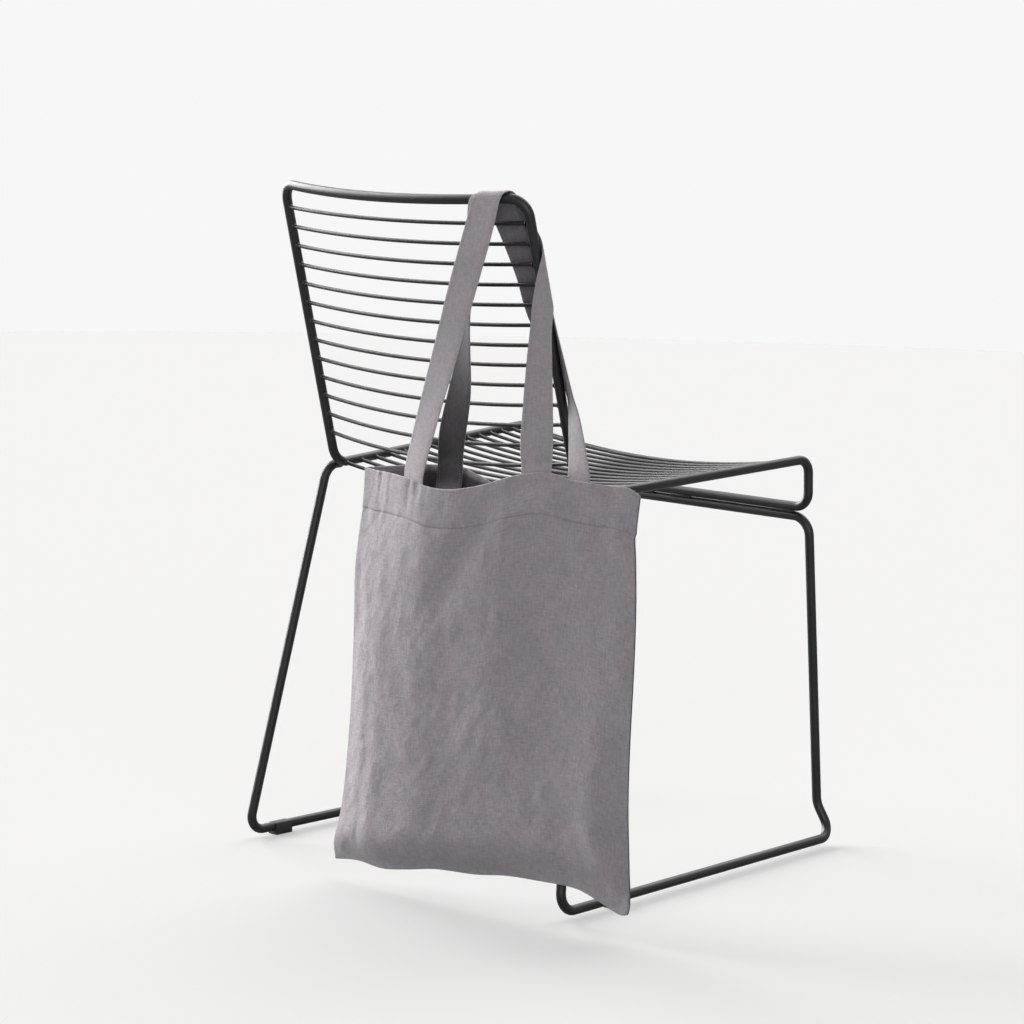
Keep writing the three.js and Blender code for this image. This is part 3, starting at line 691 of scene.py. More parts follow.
def coat_material(name, colour, roughness, grain, depth, coat):
    tree, shader = new_material(
        name, {"Coat Weight": coat, "Coat Roughness": 0.28, "Specular IOR Level": 0.45},
    )
    add, _, times = arithmetic(tree)
    place = node(tree, "ShaderNodeTexCoord").outputs["Object"]
    surface = node(
        tree, "ShaderNodeGroup", {"Place": place, "Grain size": grain},
        node_tree=bpy.data.node_groups["fine_grain"],
    ).outputs
    tint = mixed(tree, surface["Dust"], colour, [1.5 * c + 0.004 for c in colour])
    rough = add(times(surface["Dust"], 0.12), roughness)
    finish_material(tree, shader, tint, rough, surface["Height"], 0.6, depth)


def finish(name):
    """One of the materials, which are all made when the first is asked for."""
    if name not in bpy.data.materials:
        weave_group()
        grain_group()
        coat_material("powder_coat", chair().coat_colour, 0.42, 1400.0, 0.00006, 0.12)
        coat_material("glide_plastic", chair().glide_colour, 0.5, 2200.0, 0.00005, 0.0)
        for linen, share, yarns, depth, slubs in LINENS:
            colour = [share * c for c in tote().linen_colour]
            linen_material(linen, colour, yarns, depth, slubs)
    return bpy.data.materials[name]


# ================================================================ bent tube, by circle and spin
def start_tube(name, centre, radius, sides):
    """An open ring of edges that faces sideways, in edit mode."""
    obj = primitive(
        "circle", vertices=sides, radius=radius, fill_type="NOTHING", location=centre,
        rotation=SIDEWAYS.to_track_quat("Z", "Y").to_euler(),
    )
    obj.name = obj.data.name = name
    apply_all(obj)
    bpy.ops.object.mode_set(mode="EDIT")
    bpy.ops.mesh.select_all(action="SELECT")
    return obj


def run_by(move):
    bpy.ops.mesh.extrude_region_move(TRANSFORM_OT_translate={"value": move})


def turn_about(centre, axis, angle, steps):
    """Spins the open ring about an axis; a positive angle is anticlockwise round it."""
    bpy.ops.mesh.spin(steps=steps, angle=-angle, center=centre, axis=axis)


def bend_at(here, corner, onward, radius):
    """Runs the ring from here to a corner and round it; returns where the bend ends."""
    into = (here - corner).normalized()
    out = (onward - corner).normalized()
    half = into.angle(out) / 2
    reach = radius / math.tan(half)
    centre = corner + (into + out).normalized() * (radius / math.sin(half))
    start = corner + into * reach
    end = corner + out * reach
    run_by(start - here)
    axis = (start - centre).cross(end - centre).normalized()
    sweep = (start - centre).angle(end - centre)
    turn_about(centre, axis, sweep, max(4, round(math.degrees(sweep) / BEND_STEP)))
    return end


def bend_through(here, corners, last):
    """Bends the ring round the corners towards a last point; returns where the last bend ends."""
    points = [at(corner) for corner in corners] + [last]
    for i, corner in enumerate(corners):
        here = bend_at(here, points[i], points[i + 1], corner["bend"] * MM)
    return here


def close_end(direction, radius):
    """A softly rounded end on the open ring."""
    for step, size in TUBE_END:
        run_by(direction * radius * step)
        bpy.ops.transform.resize(value=(size, size, size))
    bpy.ops.mesh.edge_face_add()


def bow_direction(tilt):
    return Vector((0, -math.cos(math.radians(tilt)), -math.sin(math.radians(tilt))))


def top_bar_point(share):
    """A point of the bowed top bar, by share of its half width."""
    p = Vector((share * TOP["x"], TOP["y"], TOP["z"]))
    return (p + bow_direction(BACK_LEAN) * TOP_BAR_BOW * (1 - share * share)) * MM


SIDEWAYS = Vector((1, 0, 0))
UPRIGHT = at(SEAT_BACK) - at(TOP)
DOWN = UPRIGHT.normalized()
BACK_DOWN = Vector((0, UPRIGHT.y, UPRIGHT.z)).normalized()
BACK_LEAN = math.degrees(math.atan2(BACK_DOWN.y, -BACK_DOWN.z))


def mirrored(obj):
    """The other half of a piece of the chair, joined at the middle."""
    leave()
    modify(obj, "MIRROR", use_axis=(True, False, False), use_clip=True,
           merge_threshold=MIRROR_MERGE * MM)
    outwards(obj)
    shade_by_angle(obj, TUBE_SHADE)


class OBJECT_OT_wire_chair_frame(bpy.types.Operator):
    """Bends the seat frame and the leg frame from round tube"""

    bl_idname = "object.wire_chair_frame"
    bl_label = "Chair frame"

    def execute(self, context):
        radius, sides, coat = chair().tube_radius, chair().tube_sides, finish("powder_coat")
        # Seat frame: lower front bar, seat side, upright and half of the top bar.
        seat = start_tube("seat_tube", at(APRON, 0), radius, sides)
        aim, middle = top_bar_point(TOP_BAR_AIM), top_bar_point(0)
        here = bend_through(at(APRON, 0), (APRON, SEAT_FRONT, SEAT_BACK, TOP), aim)
        bow = (aim - at(TOP)).normalized()
        inward = -bow_direction(BACK_LEAN)
        arc = abs(math.atan2(bow.dot(inward), -bow.x))
        centre = middle + inward * ((here.x - middle.x) / math.sin(arc))
        axis = (here - centre).cross(middle - centre).normalized()
        turn_about(centre, axis, arc, TOP_BAR_STEPS)
        mirrored(seat)
        hand_over(seat, coat, "black_coat", "seat_frame")

        # Leg frame: cross bar, front leg, runner and rear leg.
        legs = start_tube("leg_tube", at(FRONT_KNEE, 0), radius, sides)
        end = at(LEG_STUB)
        corners = (FRONT_KNEE, FRONT_ANKLE, FRONT_FOOT, REAR_FOOT, REAR_KNEE)
        here = bend_through(at(FRONT_KNEE, 0), corners, end)
        run_by(end - here)
        close_end((end - here).normalized(), radius)
        mirrored(legs)
        hand_over(legs, coat, "black_coat", "leg_frame")

        # Welds that close the groove between the two front bars, beside an open slot.
        for number, (low, high) in enumerate(FRONT_WELDS):
            for side in (-1, 1):
                weld = primitive("cylinder", vertices=WELD["sides"], radius=WELD["thick"] * MM,
                                 depth=(high - low) * MM)
                weld.name = f"front_weld_{2 * number + (side > 0)}"
                modify(weld, "BEVEL", width=WELD["thick"] * WELD["round"] * MM, segments=3,
                       limit_method="ANGLE")
                weld.rotation_euler = (0, math.pi / 2, 0)
                weld.location = at(dict(WELD, x=(low + high) / 2), side)
                apply_all(weld)
                shade_by_angle(weld, TUBE_SHADE)
                hand_over(weld, coat, "black_coat")
        return {"FINISHED"}


def make_rod(name, replaced, anchor, direction, bow):
    """A bowed rod with welded ends, between the two side tubes."""
    arc_radius = (anchor.x**2 + bow**2) / (2 * bow)
    middle = Vector((0, anchor.y, anchor.z)) + direction * bow
    centre = middle - direction * arc_radius
    sweep = math.asin((anchor.x - chair().tube_radius - ROD["inset"] * MM) / arc_radius)
    rod = start_tube(name, middle, chair().rod_radius, ROD["sides"])
    axis = direction.cross(SIDEWAYS).normalized()
    turn_about(centre, axis, sweep, ROD["steps"])
    onward = Matrix.Rotation(sweep, 3, axis) @ SIDEWAYS
    for step, spread in ROD_COLLAR:
        run_by(onward * step * MM)
        bpy.ops.transform.resize(value=(1, spread, spread))
    bpy.ops.mesh.edge_face_add()
    mirrored(rod)
    hand_over(rod, finish("powder_coat"), "black_coat", replaced)


class OBJECT_OT_wire_chair_rods(bpy.types.Operator):
    """Bows the rods of the back and of the seat and welds them between the tubes"""

    bl_idname = "object.wire_chair_rods"
    bl_label = "Chair rods"

    def execute(self, context):
        rods = BACK_RODS
        flat_length = math.hypot(UPRIGHT.y, UPRIGHT.z)
        straight = (rods["bow_top"] + rods["bow_bottom"]) / 2
        for i in range(rods["count"]):
            share = i / (rods["count"] - 1)
            along = (rods["first"] + rods["pitch"] * i) * MM / flat_length
            bow = lerp(rods["bow_top"], rods["bow_bottom"], share)
            bow += (rods["bow_middle"] - straight) * 4 * share * (1 - share)
            tilt = lerp(rods["tilt_top"], rods["tilt_bottom"], share)
            make_rod(f"back_wire_{i + 1:02d}", f"back_rod_{i + 1:02d}",
                     at(TOP).lerp(at(SEAT_BACK), along), bow_direction(tilt), bow * MM)
        rods = SEAT_RODS
        run = (at(SEAT_FRONT) - at(SEAT_BACK)).normalized()
        shrink = (rods["rear_pitch"] - rods["front_pitch"]) / (rods["count"] - 2)
        for i in range(rods["count"]):
            along = rods["rear"] + rods["rear_pitch"] * i - shrink * i * (i - 1) / 2
            foremost = i == rods["count"] - 1
            anchor = at(SEAT_BACK) + run * (along - (rods["last_back"] if foremost else 0)) * MM
            anchor.z -= rods["last_drop"] * MM if foremost else 0
            dip = lerp(rods["dip_rear"], rods["dip_front"], i / (rods["count"] - 1))
            make_rod(f"seat_wire_{i + 1:02d}", f"seat_rod_{i + 1:02d}",
                     anchor, bow_direction(90), dip * MM)
        return {"FINISHED"}


class OBJECT_OT_wire_chair_glides(bpy.types.Operator):
    """Moulds one clip glide and sets a copy round the runners at each of its places"""

    bl_idname = "object.wire_chair_glides"
    bl_label = "Chair glides"

    def execute(self, context):
        size = {key: value * MM for key, value in GLIDE.items()}
        inner = chair().tube_radius + size["gap"]
        outer = inner + size["wall"]
        rim = math.radians(GLIDE_RIM_ANGLE)
        top, floor = outer * math.sin(rim), -chair().tube_radius - size["sole"]
        first = primitive("cube", size=1, location=(0, 0, (top + floor) / 2))
        first.scale = (2 * outer, size["length"], top - floor)
        apply_all(first)
        edit(first)
        for height in (size["waist"], floor + size["edge"]):
            bpy.ops.mesh.select_all(action="SELECT")
            bpy.ops.mesh.bisect(plane_co=(0, 0, height), plane_no=(0, 0, 1))
        leave()
        # The clip closes in over the tube, and the sole is a little narrower than the block.
        for height, share in ((top, math.cos(rim)), (floor, size["flat"] / outer)):
            pick(first, lambda place: abs(place.z - height) < 0.1 * MM)
            bpy.ops.transform.resize(value=(share, 1, 1), center_override=(0, 0, height))
            leave()
        bore = primitive("cylinder", vertices=36, radius=inner, depth=size["bore"],
                         rotation=(math.pi / 2, 0, 0))
        modify(first, "BOOLEAN", operation="DIFFERENCE", object=bore, solver="EXACT")
        bpy.data.objects.remove(bore)
        modify(first, "BEVEL", width=size["round"], segments=3, limit_method="ANGLE",
               angle_limit=math.radians(35))
        outwards(first)
        shade_by_angle(first, GLIDE_SHADE)
        for name, side, along in GLIDE_PLACES:
            glide = first.copy()
            glide.data = first.data.copy()
            glide.name = glide.data.name = f"saddle_{name}"
            context.collection.objects.link(glide)
            rear, front = at(REAR_FOOT, side), at(FRONT_FOOT, side)
            run = front - rear
            glide.rotation_euler = (0, 0, math.atan2(-run.x, run.y))
            glide.location = rear.lerp(front, along)
            hand_over(glide, finish("glide_plastic"), "glide_plastic", f"glide_{name}")
        bpy.data.objects.remove(first)
        return {"FINISHED"}


# ================================================================ the bag's cloth
ACROSS = level(BAG["heading"])
OUT = np.array((ACROSS[1], -ACROSS[0], 0.0))
# Of each panel: its rim, its column in BELLY, its folds, the way it faces, its creases' seed.
PANELS = {
    "front": (FRONT_RIM, 1, FRONT_FOLDS, 1.0, 11),
    "back": (BACK_RIM, 2, BACK_FOLDS, -1.0, 61),
}


def bag_point(along, z, off):
    """Points of the bag in millimetres, from place across, height and distance off the seams."""
    share = (z - BAG["foot_z"]) / (BAG["rim_z"] - BAG["foot_z"])
    y = lerp(BAG["foot_y"], BAG["rim_y"], share)
    base = np.stack([np.full_like(z, BAG["x"]), y, z], -1)
    return base + along[..., None] * ACROSS + off[..., None] * OUT


def fold_height(folds, u, v):
    total = np.zeros_like(u)
    for top, bottom, half, rise, low, high in folds:
        lengthwise = smooth(low, low + FOLD_START, v) * (1 - smooth(high - FOLD_END, high, v))
        total += rise * bell(u - lerp(bottom, top, v), half) * lengthwise
    return total


def stand_off(rim, belly, folds, u, v):
    rim_share = smooth(RIM_START, 1, v)
    bottom_share = 1 - (1 - smooth(0, BOTTOM_ROLL, v)) ** 2
    fullness = read(BELLY, u, belly) * bottom_share
    open_by = read(rim, u, 2) * rim_share
    folded = fold_height(folds, u, v) * (fade(u, 0.05, 0.04) * smooth(0, 0.06, v))
    return SEAM_STAND + np.maximum(0, fullness * (1 - rim_share) + open_by + folded)


def panel_point(side, u, v):
    """Middle of a panel's cloth in millimetres, without its small shape."""
    rim, belly, folds, facing, _ = PANELS[side]
    u, v = np.broadcast_arrays(np.asarray(u, float), np.asarray(v, float))
    z = lerp(read(BOTTOM, u, 1), read(rim, u, 1), v)
    along = lerp(read(SIDES, z, 1), read(SIDES, z, 2), u)
    return bag_point(along, z, facing * stand_off(rim, belly, folds, u, v))


def panel_normal(side, u, v):
    """Direction square to a panel's plain shape, towards the bag's front, as in the solid."""
    u, v = np.broadcast_arrays(np.asarray(u, float), np.asarray(v, float))
    step = 0.004
    left, right = np.maximum(u - step, 0), np.minimum(u + step, 1)
    low, high = np.maximum(v - step, 0), np.minimum(v + step, 1)
    across = panel_point(side, right, v) - panel_point(side, left, v)
    up = panel_point(side, u, high) - panel_point(side, u, low)
    flat = (np.minimum(u, 1 - u) < 0.02) | (v < 0.02)
    return np.where(flat[..., None], OUT, unit(np.cross(across, up)))


def grid_normals(points, flip):
    """Unit normals of a grid of points from its own neighbours."""
    normal = np.cross(np.gradient(points, axis=0), np.gradient(points, axis=1))
    return unit(normal, 1e-9) * flip


def new_cloth(name, mesh, flat, corners, dusk):
    """Gives a mesh its cloth UVs, by vertex, and its painted shade, and makes it an object."""
    layer = mesh.uv_layers.new(name="cloth")
    layer.data.foreach_set("uv", flat[corners].astype(np.float32).ravel())
    if dusk is not None:
        darker = mesh.attributes.new("dusk", "FLOAT", "POINT")
        darker.data.foreach_set("value", dusk.astype(np.float32))
    mesh.update()
    mesh.validate()
    obj = bpy.data.objects.new(name, mesh)
    bpy.context.collection.objects.link(obj)
    return obj


def cloth_object(name, middles, normals, thickness, uv, dusk):
    """A closed sheet with rounded edges from a grid of middles in millimetres.

    The grid runs across, then up; normals point out of the first skin. The painted shade of both
    skins says how much darker the cloth's colour is made there."""
    m, n = middles.shape[:2]
    half = np.broadcast_to(thickness, (m, n))[..., None] / 2
    first, second = middles + normals * half, middles - normals * half
    # The edge's own line stands most of half a thickness outside the grid.
    loop = [(i, 0) for i in range(m)] + [(m - 1, j) for j in range(1, n)]
    loop += [(i, n - 1) for i in range(m - 2, -1, -1)] + [(0, j) for j in range(n - 2, 0, -1)]
    i, j = np.array(loop).T
    away = middles[i, j] - middles[np.clip(i, 1, m - 2), np.clip(j, 1, n - 2)]
    edge = middles[i, j] + unit(away, 1e-9) * half[i, j] * EDGE_STAND
    points = np.concatenate([first.reshape(-1, 3), second.reshape(-1, 3), edge]) * MM
    index = np.arange(m * n).reshape(m, n)
    quads = np.stack([index[:-1, :-1], index[1:, :-1], index[1:, 1:], index[:-1, 1:]], -1)
    quads = quads.reshape(-1, 4)
    outer, ring = index[i, j], 2 * m * n + np.arange(len(loop))
    next_outer, next_ring = np.roll(outer, -1), np.roll(ring, -1)
    faces = np.concatenate([
        quads, quads[:, ::-1] + m * n,
        np.stack([outer, ring, next_ring, next_outer], -1),
        np.stack([ring, outer + m * n, next_outer + m * n, next_ring], -1),
    ])
    mesh = bpy.data.meshes.new(name)
    mesh.vertices.add(len(points))
    mesh.vertices.foreach_set("co", points.astype(np.float32).ravel())
    mesh.loops.add(len(faces) * 4)
    mesh.loops.foreach_set("vertex_index", faces.astype(np.int32).ravel())
    mesh.polygons.add(len(faces))
    mesh.polygons.foreach_set("loop_start", np.arange(0, len(faces) * 4, 4, dtype=np.int32))
    mesh.update(calc_edges=True)
    mesh.polygons.foreach_set("use_smooth", np.ones(len(faces), bool))
    flat = np.concatenate([uv.reshape(-1, 2), uv.reshape(-1, 2), uv[i, j]])
    # Painted shade of each skin; the edge takes half of the first skin's.
    skins = [np.broadcast_to(skin, (m, n)) for skin in dusk]
    darker = np.concatenate([skins[0].ravel(), skins[1].ravel(), skins[0][i, j] * 0.5])
    obj = new_cloth(name, mesh, flat, faces.ravel(), darker)
    # Faces that point in are turned out.
    shell = bmesh.new()
    shell.from_mesh(obj.data)
    if shell.calc_volume(signed=True) < 0:
        bmesh.ops.reverse_faces(shell, faces=shell.faces)
        shell.to_mesh(obj.data)
    shell.free()
    return obj


def panel_relief(side, u, v, depth):
    """Small shape of the cloth over its main folds, in millimetres outwards."""
    seed = PANELS[side][4]
    x, y, hem = u * WIDTH, v * HEIGHT, tote().hem / MM
    # Calm at the seams, so that both panels stay together.
    inside = fade(u, SEAM_CALM, SEAM_CALM) * smooth(0, SEAM_CALM, v)
    creases = RIDGE["rise"] * (RIDGE["level"] - np.abs(
        rumple(x + RIDGE["slant"] * y, y, RIDGE["wide"], RIDGE["high"], seed + 4)
    ))
    for number, (rise, slant, wide, high) in enumerate(CREASES):
        creases += rise * rumple(x + slant * y, y, wide, high, seed + number)
    # The doubled hem is stiffer than the single cloth below it.
    loose = lerp(HEM_LOOSE, 1.0, smooth(hem - 6, hem + 14, depth))
    relief = tote().crumple * inside * loose * creases
    # Stitching pulls the hem in, with puckers below and above it and at the rim.
    away = fade(u, 0.02, 0.02)
    wide, reach = PUCKER_WIDTH, PUCKER_REACH
    beat = rumple(x, 0.0, wide["hem"], 1, seed + 5)
    beat += 0.5 * rumple(x, 0.0, wide["fine"], 1, seed + 6)
    near = np.exp(-np.abs(depth - hem) / reach["hem"])
    relief += away * (-HEM_PULL * bell(depth - hem, 1.6) + PUCKER["hem"] * beat * near)
    relief += away * PUCKER["rim"] * beat * np.exp(-depth / reach["rim"])
    # Puckers along the side and the bottom seams.
    edge = np.minimum(u, 1 - u) * WIDTH
    beat = rumple(0.0, y + 40 * (u > 0.5), 1, wide["side"], seed + 7)
    relief += PUCKER["side"] * beat * np.exp(-edge / reach["side"]) * smooth(0, 6, edge)
    beat = rumple(x, 0.0, wide["foot"], 1, seed + 8)
    relief += PUCKER["foot"] * beat * np.exp(-y / reach["foot"]) * smooth(0, 8, y) * away
    # The rim gathers where the left foot of the handle pulls it.
    beat = rumple(x + 0.12 * depth, 0.0, wide["gather"], 1, seed + 9)
    drawn = GATHER_PLAIN
    if side == "front":
        drawn = lerp(GATHER, GATHER_PLAIN, smooth(*GATHER_END, u))
    return relief + away * drawn * beat * np.exp(-depth / reach["gather"])


def panel_grid():
    """Shares across and up of a panel's fine grid, and depth below the rim."""
    # Columns and rows are closest at the edges, and rows also at the hem's stitches.
    columns = np.linspace(0, 1, PANEL_COLUMNS)
    u = columns - np.sin(2 * np.pi * columns) * 0.07
    hem = tote().hem / MM
    depth = np.concatenate([
        [0, 0.8, 2, 3.6], np.arange(6, hem - 5, 2.8), np.arange(hem - 4.2, hem + 4.3, 0.84),
        np.arange(hem + 6.5, HEIGHT - 8, 2.75), HEIGHT - np.array([6, 3.5, 1.5, 0]),
    ])[::-1]
    grid = np.meshgrid(u, 1 - depth / HEIGHT, indexing="ij")
    return grid + [np.broadcast_to(depth, (len(u), len(depth)))]


def panel_surface(side, u, v, depth):
    """Middle of the finished cloth in millimetres, with its own small relief."""
    hem, facing = tote().hem / MM, PANELS[side][3]
    relief = panel_relief(side, u, v, depth)[..., None] * facing
    middle = panel_point(side, u, v) + panel_normal(side, u, v) * relief
    # The hem's ends stand a little past the side seams.
    right, left = HEM_ENDS
    outward = right * smooth(0.97, 1.0, u) - left * smooth(0.97, 1.0, 1 - u)
    step = 1 - smooth(hem - 1.5, hem + 2.5, depth)
    middle = middle + (step * outward)[..., None] * ACROSS
    # The rim's right corner is worn round.
    middle[..., 2] -= WORN_CORNER * smooth(0.98, 1.0, u) ** 2 * np.exp(-depth / 6.0)
    return middle


def panel_thickness(depth):
    """Thickness of a panel: one cloth, and more at the hem."""
    hem = tote().hem / MM
    return tote().cloth / MM + HEM_EXTRA * (1 - smooth(hem - 0.5, hem + 1.2, depth))


class OBJECT_OT_tote_panels(bpy.types.Operator):
    """Hangs the front and the back panel with their hems, folds and puckers"""

    bl_idname = "object.tote_panels"
    bl_label = "Bag panels"

    def execute(self, context):
        u, v, depth = panel_grid()
        # Painted shade: the inner skins darker below the rim, inside the bag.
        inner = INSIDE_PAINTED_SHADE * smooth(0.04, 0.2, u) * smooth(0, 9, depth)
        # Painted shade: a darker line along the groove of the hem's stitches.
        hem_line_shade = HEM_LINE_PAINTED_SHADE * bell(depth - tote().hem / MM, 0.9)
        for side, shift, dusk in (("front", 0.0, (hem_line_shade, inner)), ("back", 0.7, (inner, hem_line_shade))):
            middle = panel_surface(side, u, v, depth)
            uv = np.stack([u * WIDTH, v * HEIGHT], -1) * MM + shift
            panel = cloth_object(
                f"linen_{side}", middle, grid_normals(middle, 1), panel_thickness(depth), uv, dusk
            )
            hand_over(panel, finish("linen_panel"), "linen", f"{side}_panel")
        return {"FINISHED"}


# ================================================================ the handles
def strap_places():
    """Places across a strap, from its middle."""
    return (np.arange(STRAP_CELLS + 1) / STRAP_CELLS - 0.5) * tote().strap_width / MM


def foot_station(handle, foot, depth):
    """The strap's middle line inside the hem, at a depth below the rim."""
    side, (share, to_right) = handle["side"], handle[foot]
    facing = PANELS[side][3]
    u = share + to_right * strap_places() / (SIDES[-1][2] - SIDES[-1][1])
    v = np.full_like(u, 1 - depth / (BAG["rim_z"] - BAG["foot_z"]))
    inset = (CAD_CLOTH + CAD_STRAP) / 2 + FOOT_GAP
    below = np.full_like(u, max(depth, 0.0))
    relief = np.mean(panel_relief(side, u, 1 - below / HEIGHT, below)) * facing
    normal = panel_normal(side, u, np.minimum(v, 1))
    return panel_point(side, u, v) + normal * (relief - facing * inset)


def flat_station(centre, heading):
    """A straight line of the strap's middle across its width."""
    return np.asarray(centre, float) + strap_places()[:, None] * np.asarray(heading, float)


def leg_stations(rows, first, last):
    """The free run of a strap, square to its own line."""
    centres = [np.array(row[:3], float) for row in rows]
    line = [first] + centres + [last]
    made = []
    for i, row in enumerate(rows):
        run = unit(line[i + 2] - line[i])
        heading = level(row[3])
        made.append(flat_station(centres[i], unit(heading - run * heading.dot(run))))
    return made


def layer_radius(layer):
    """Middle of a strap from the middle of the tube beneath it."""
    first = chair().tube_radius / MM + UNDER_STRAP_GAP + CAD_STRAP / 2
    return first + layer * (CAD_STRAP + STRAP_STACK_GAP)


def crossing_stations(handle):
    """The strap's way over the top bar."""
    x0, drift = handle["crossing"]
    radius = layer_radius(handle["layer"])
    made = []
    for angle in (0, 45, 90, 135, 180):
        x = x0 + drift * angle / 180
        axis = np.array(top_bar_point(x / TOP["x"])) / MM
        ahead = np.array(top_bar_point((x + 1) / TOP["x"])) / MM - axis
        axis[1] -= radius * math.cos(math.radians(angle))
        axis[2] += radius * math.sin(math.radians(angle))
        made.append(flat_station(axis, unit(ahead)))
    return made


def round_upright(along, radius, depart):
    """Place beside the upright, and off it, of a strap that arrives, winds on and departs."""
    start = math.radians(ARRIVE_ANGLE)
    arc = radius * (start - math.radians(depart))
    angle = start - np.clip(along, 0, arc) / radius
    past = np.where(along < 0, along, np.maximum(0, along - arc))
    x = radius * np.cos(angle) + past * np.sin(angle)
    return x, radius * np.sin(angle) - past * np.cos(angle)


def wrap_stations(handle):
    """The strap's way round the upright, from its table."""
    wrap, places = handle["wrap"], strap_places()
    first, last = wrap[0][0], wrap[-1][0]
    count = round((last - first) / WRAP_STEP)
    sitterwards = np.array((0.0, -BACK_DOWN.z, BACK_DOWN.y))
    made = []
    for i in range(count + 1):
        down = lerp(first, last, i / count)
        climb = float(read(wrap, down + 1, 1) - read(wrap, down - 1, 1))
        slope = math.atan2(climb, min(down + 1, last) - max(down - 1, first))
        reach = float(read(wrap, down, 1)) + places * math.cos(slope)
        settled = handle["layer"] * (1 - smooth(SETTLE[0], SETTLE[1], reach))
        x, out = round_upright(reach, layer_radius(settled), handle["depart"])
        p = np.array(at(TOP)) / MM + (down - places * math.sin(slope))[:, None] * np.array(DOWN)
        p[:, 0] += x
        made.append(p + out[:, None] * sitterwards)
    return made


def through(stations, parts):
    """A smooth sheet through the stations, each span cut in parts."""
    p = np.array(stations)
    p = np.concatenate([[2 * p[0] - p[1]], p, [2 * p[-1] - p[-2]]])
    rows = []
    for i, cuts in enumerate(parts):
        p0, p1, p2, p3 = p[i:i + 4]
        d0, d1, d2 = (
            np.maximum(np.linalg.norm(b - a, axis=-1), 1e-6)[:, None] ** 0.5
            for a, b in ((p0, p1), (p1, p2), (p2, p3))
        )
        t1 = ((p1 - p0) / d0 - (p2 - p0) / (d0 + d1) + (p2 - p1) / d1) * d1
        t2 = ((p2 - p1) / d1 - (p3 - p1) / (d1 + d2) + (p3 - p2) / d2) * d1
        c2 = -3 * p1 + 3 * p2 - 2 * t1 - t2
        c3 = 2 * p1 - 2 * p2 + t1 + t2
        rows += [p1 + t1 * t + c2 * t * t + c3 * t**3 for t in np.arange(cuts) / cuts]
    return np.array(rows + [stations[-1]])


def strap_grid(handle):
    """Middle of a handle's cloth in millimetres, by place across and along."""
    left, right = (
        [foot_station(handle, foot, depth) for depth in FOOT_DEPTHS]
        for foot in ("left_foot", "right_foot")
    )
    crossing, wrap = crossing_stations(handle), wrap_stations(handle)
    middle = len(strap_places()) // 2
    legs = leg_stations(handle["left_leg"], left[-1][middle], crossing[0][middle])
    back = leg_stations(handle["right_leg"], wrap[-1][middle], right[-1][middle])
    stations = left + legs + crossing + wrap + back + right[::-1]
    parts = [
        max(2, round(np.linalg.norm(b[middle] - a[middle]) / STRAP_STEP))
        for a, b in zip(stations[:-1], stations[1:])
    ]
    return through(stations, parts).transpose(1, 0, 2)


def strap_thickness(grid, seed):
    """A handle's thickness, thinner in the stitched grooves, and the run along its middle."""
    places = strap_places()[:, None]
    steps = np.linalg.norm(np.diff(grid[len(grid) // 2], axis=0), axis=-1)
    run = np.concatenate([[0], np.cumsum(steps)])[None, :]
    line = tote().strap_width / MM / 2 - EDGE_SEAM
    thick = tote().strap_thickness / MM * (1 - 0.22 * bell(np.abs(places) - line, 0.9))
    return thick + 0.12 * rumple(places, run, 14, 19, seed), run


class OBJECT_OT_tote_handles(bpy.types.Operator):
    """Leads both handles from their feet in the hem over the bar and round the upright"""

    bl_idname = "object.tote_handles"
    bl_label = "Bag handles"

    def execute(self, context):
        for handle in (FRONT_HANDLE, BACK_HANDLE):
            name, seed = handle["side"], handle["seed"]
            grid = strap_grid(handle)
            thick, run = strap_thickness(grid, seed)
            across = strap_places()[:, None] + 100 * seed
            uv = np.stack(np.broadcast_arrays(across, run), -1) * MM
            # Painted shade: one skin darker where the strap wraps the upright, and on the back
            # handle the other skin darker along its left leg.
            tubeward, leg = (
                tone * smooth(*start, run) * (1 - smooth(*end, run))
                for tone, start, end in (WRAP_PAINTED_SHADE, LEG_PAINTED_SHADE)
            )
            dusk = (tubeward, leg if name == "back" else 0.0)
            strap = cloth_object(
                f"linen_handle_{name}", grid, grid_normals(grid, -1), thick, uv, dusk
            )
            hand_over(strap, finish("linen_strap"), "linen", f"{name}_handle")
        return {"FINISHED"}


# ================================================================ the sewing
def stitch_run(points, normals, lift, length, gap):
    """Short threads laid along a line: their centres, directions and normals."""
    steps = np.linalg.norm(np.diff(points, axis=0), axis=1)
    run = np.concatenate([[0], np.cumsum(steps)])
    pitch = length + gap
    starts = (np.arange(int(run[-1] // pitch)) + 0.5) * pitch
    placed, ahead, face = (
        np.stack([np.interp(where, run, values[:, k]) for k in range(3)], -1)
        for where, values in ((starts, points), (starts + 0.4, points), (starts, normals))
    )
    face = unit(face)
    return placed + face * lift, unit(ahead - placed, 1e-9), face


def leg_painted_shade(places, faces):
    """Painted shade: share by which the threads of the back handle's left leg are darkened, on
    its shaded skin.
    """
    span = THREAD_PAINTED_SHADE
    share = smooth(*span["top"], places[:, 2]) * smooth(*span["bottom"], places[:, 2])
    share = share * (places[:, 0] < span["right"]) * (faces[:, 1] < 0.0)
    return span["share"] * LEG_PAINTED_SHADE[0] * share


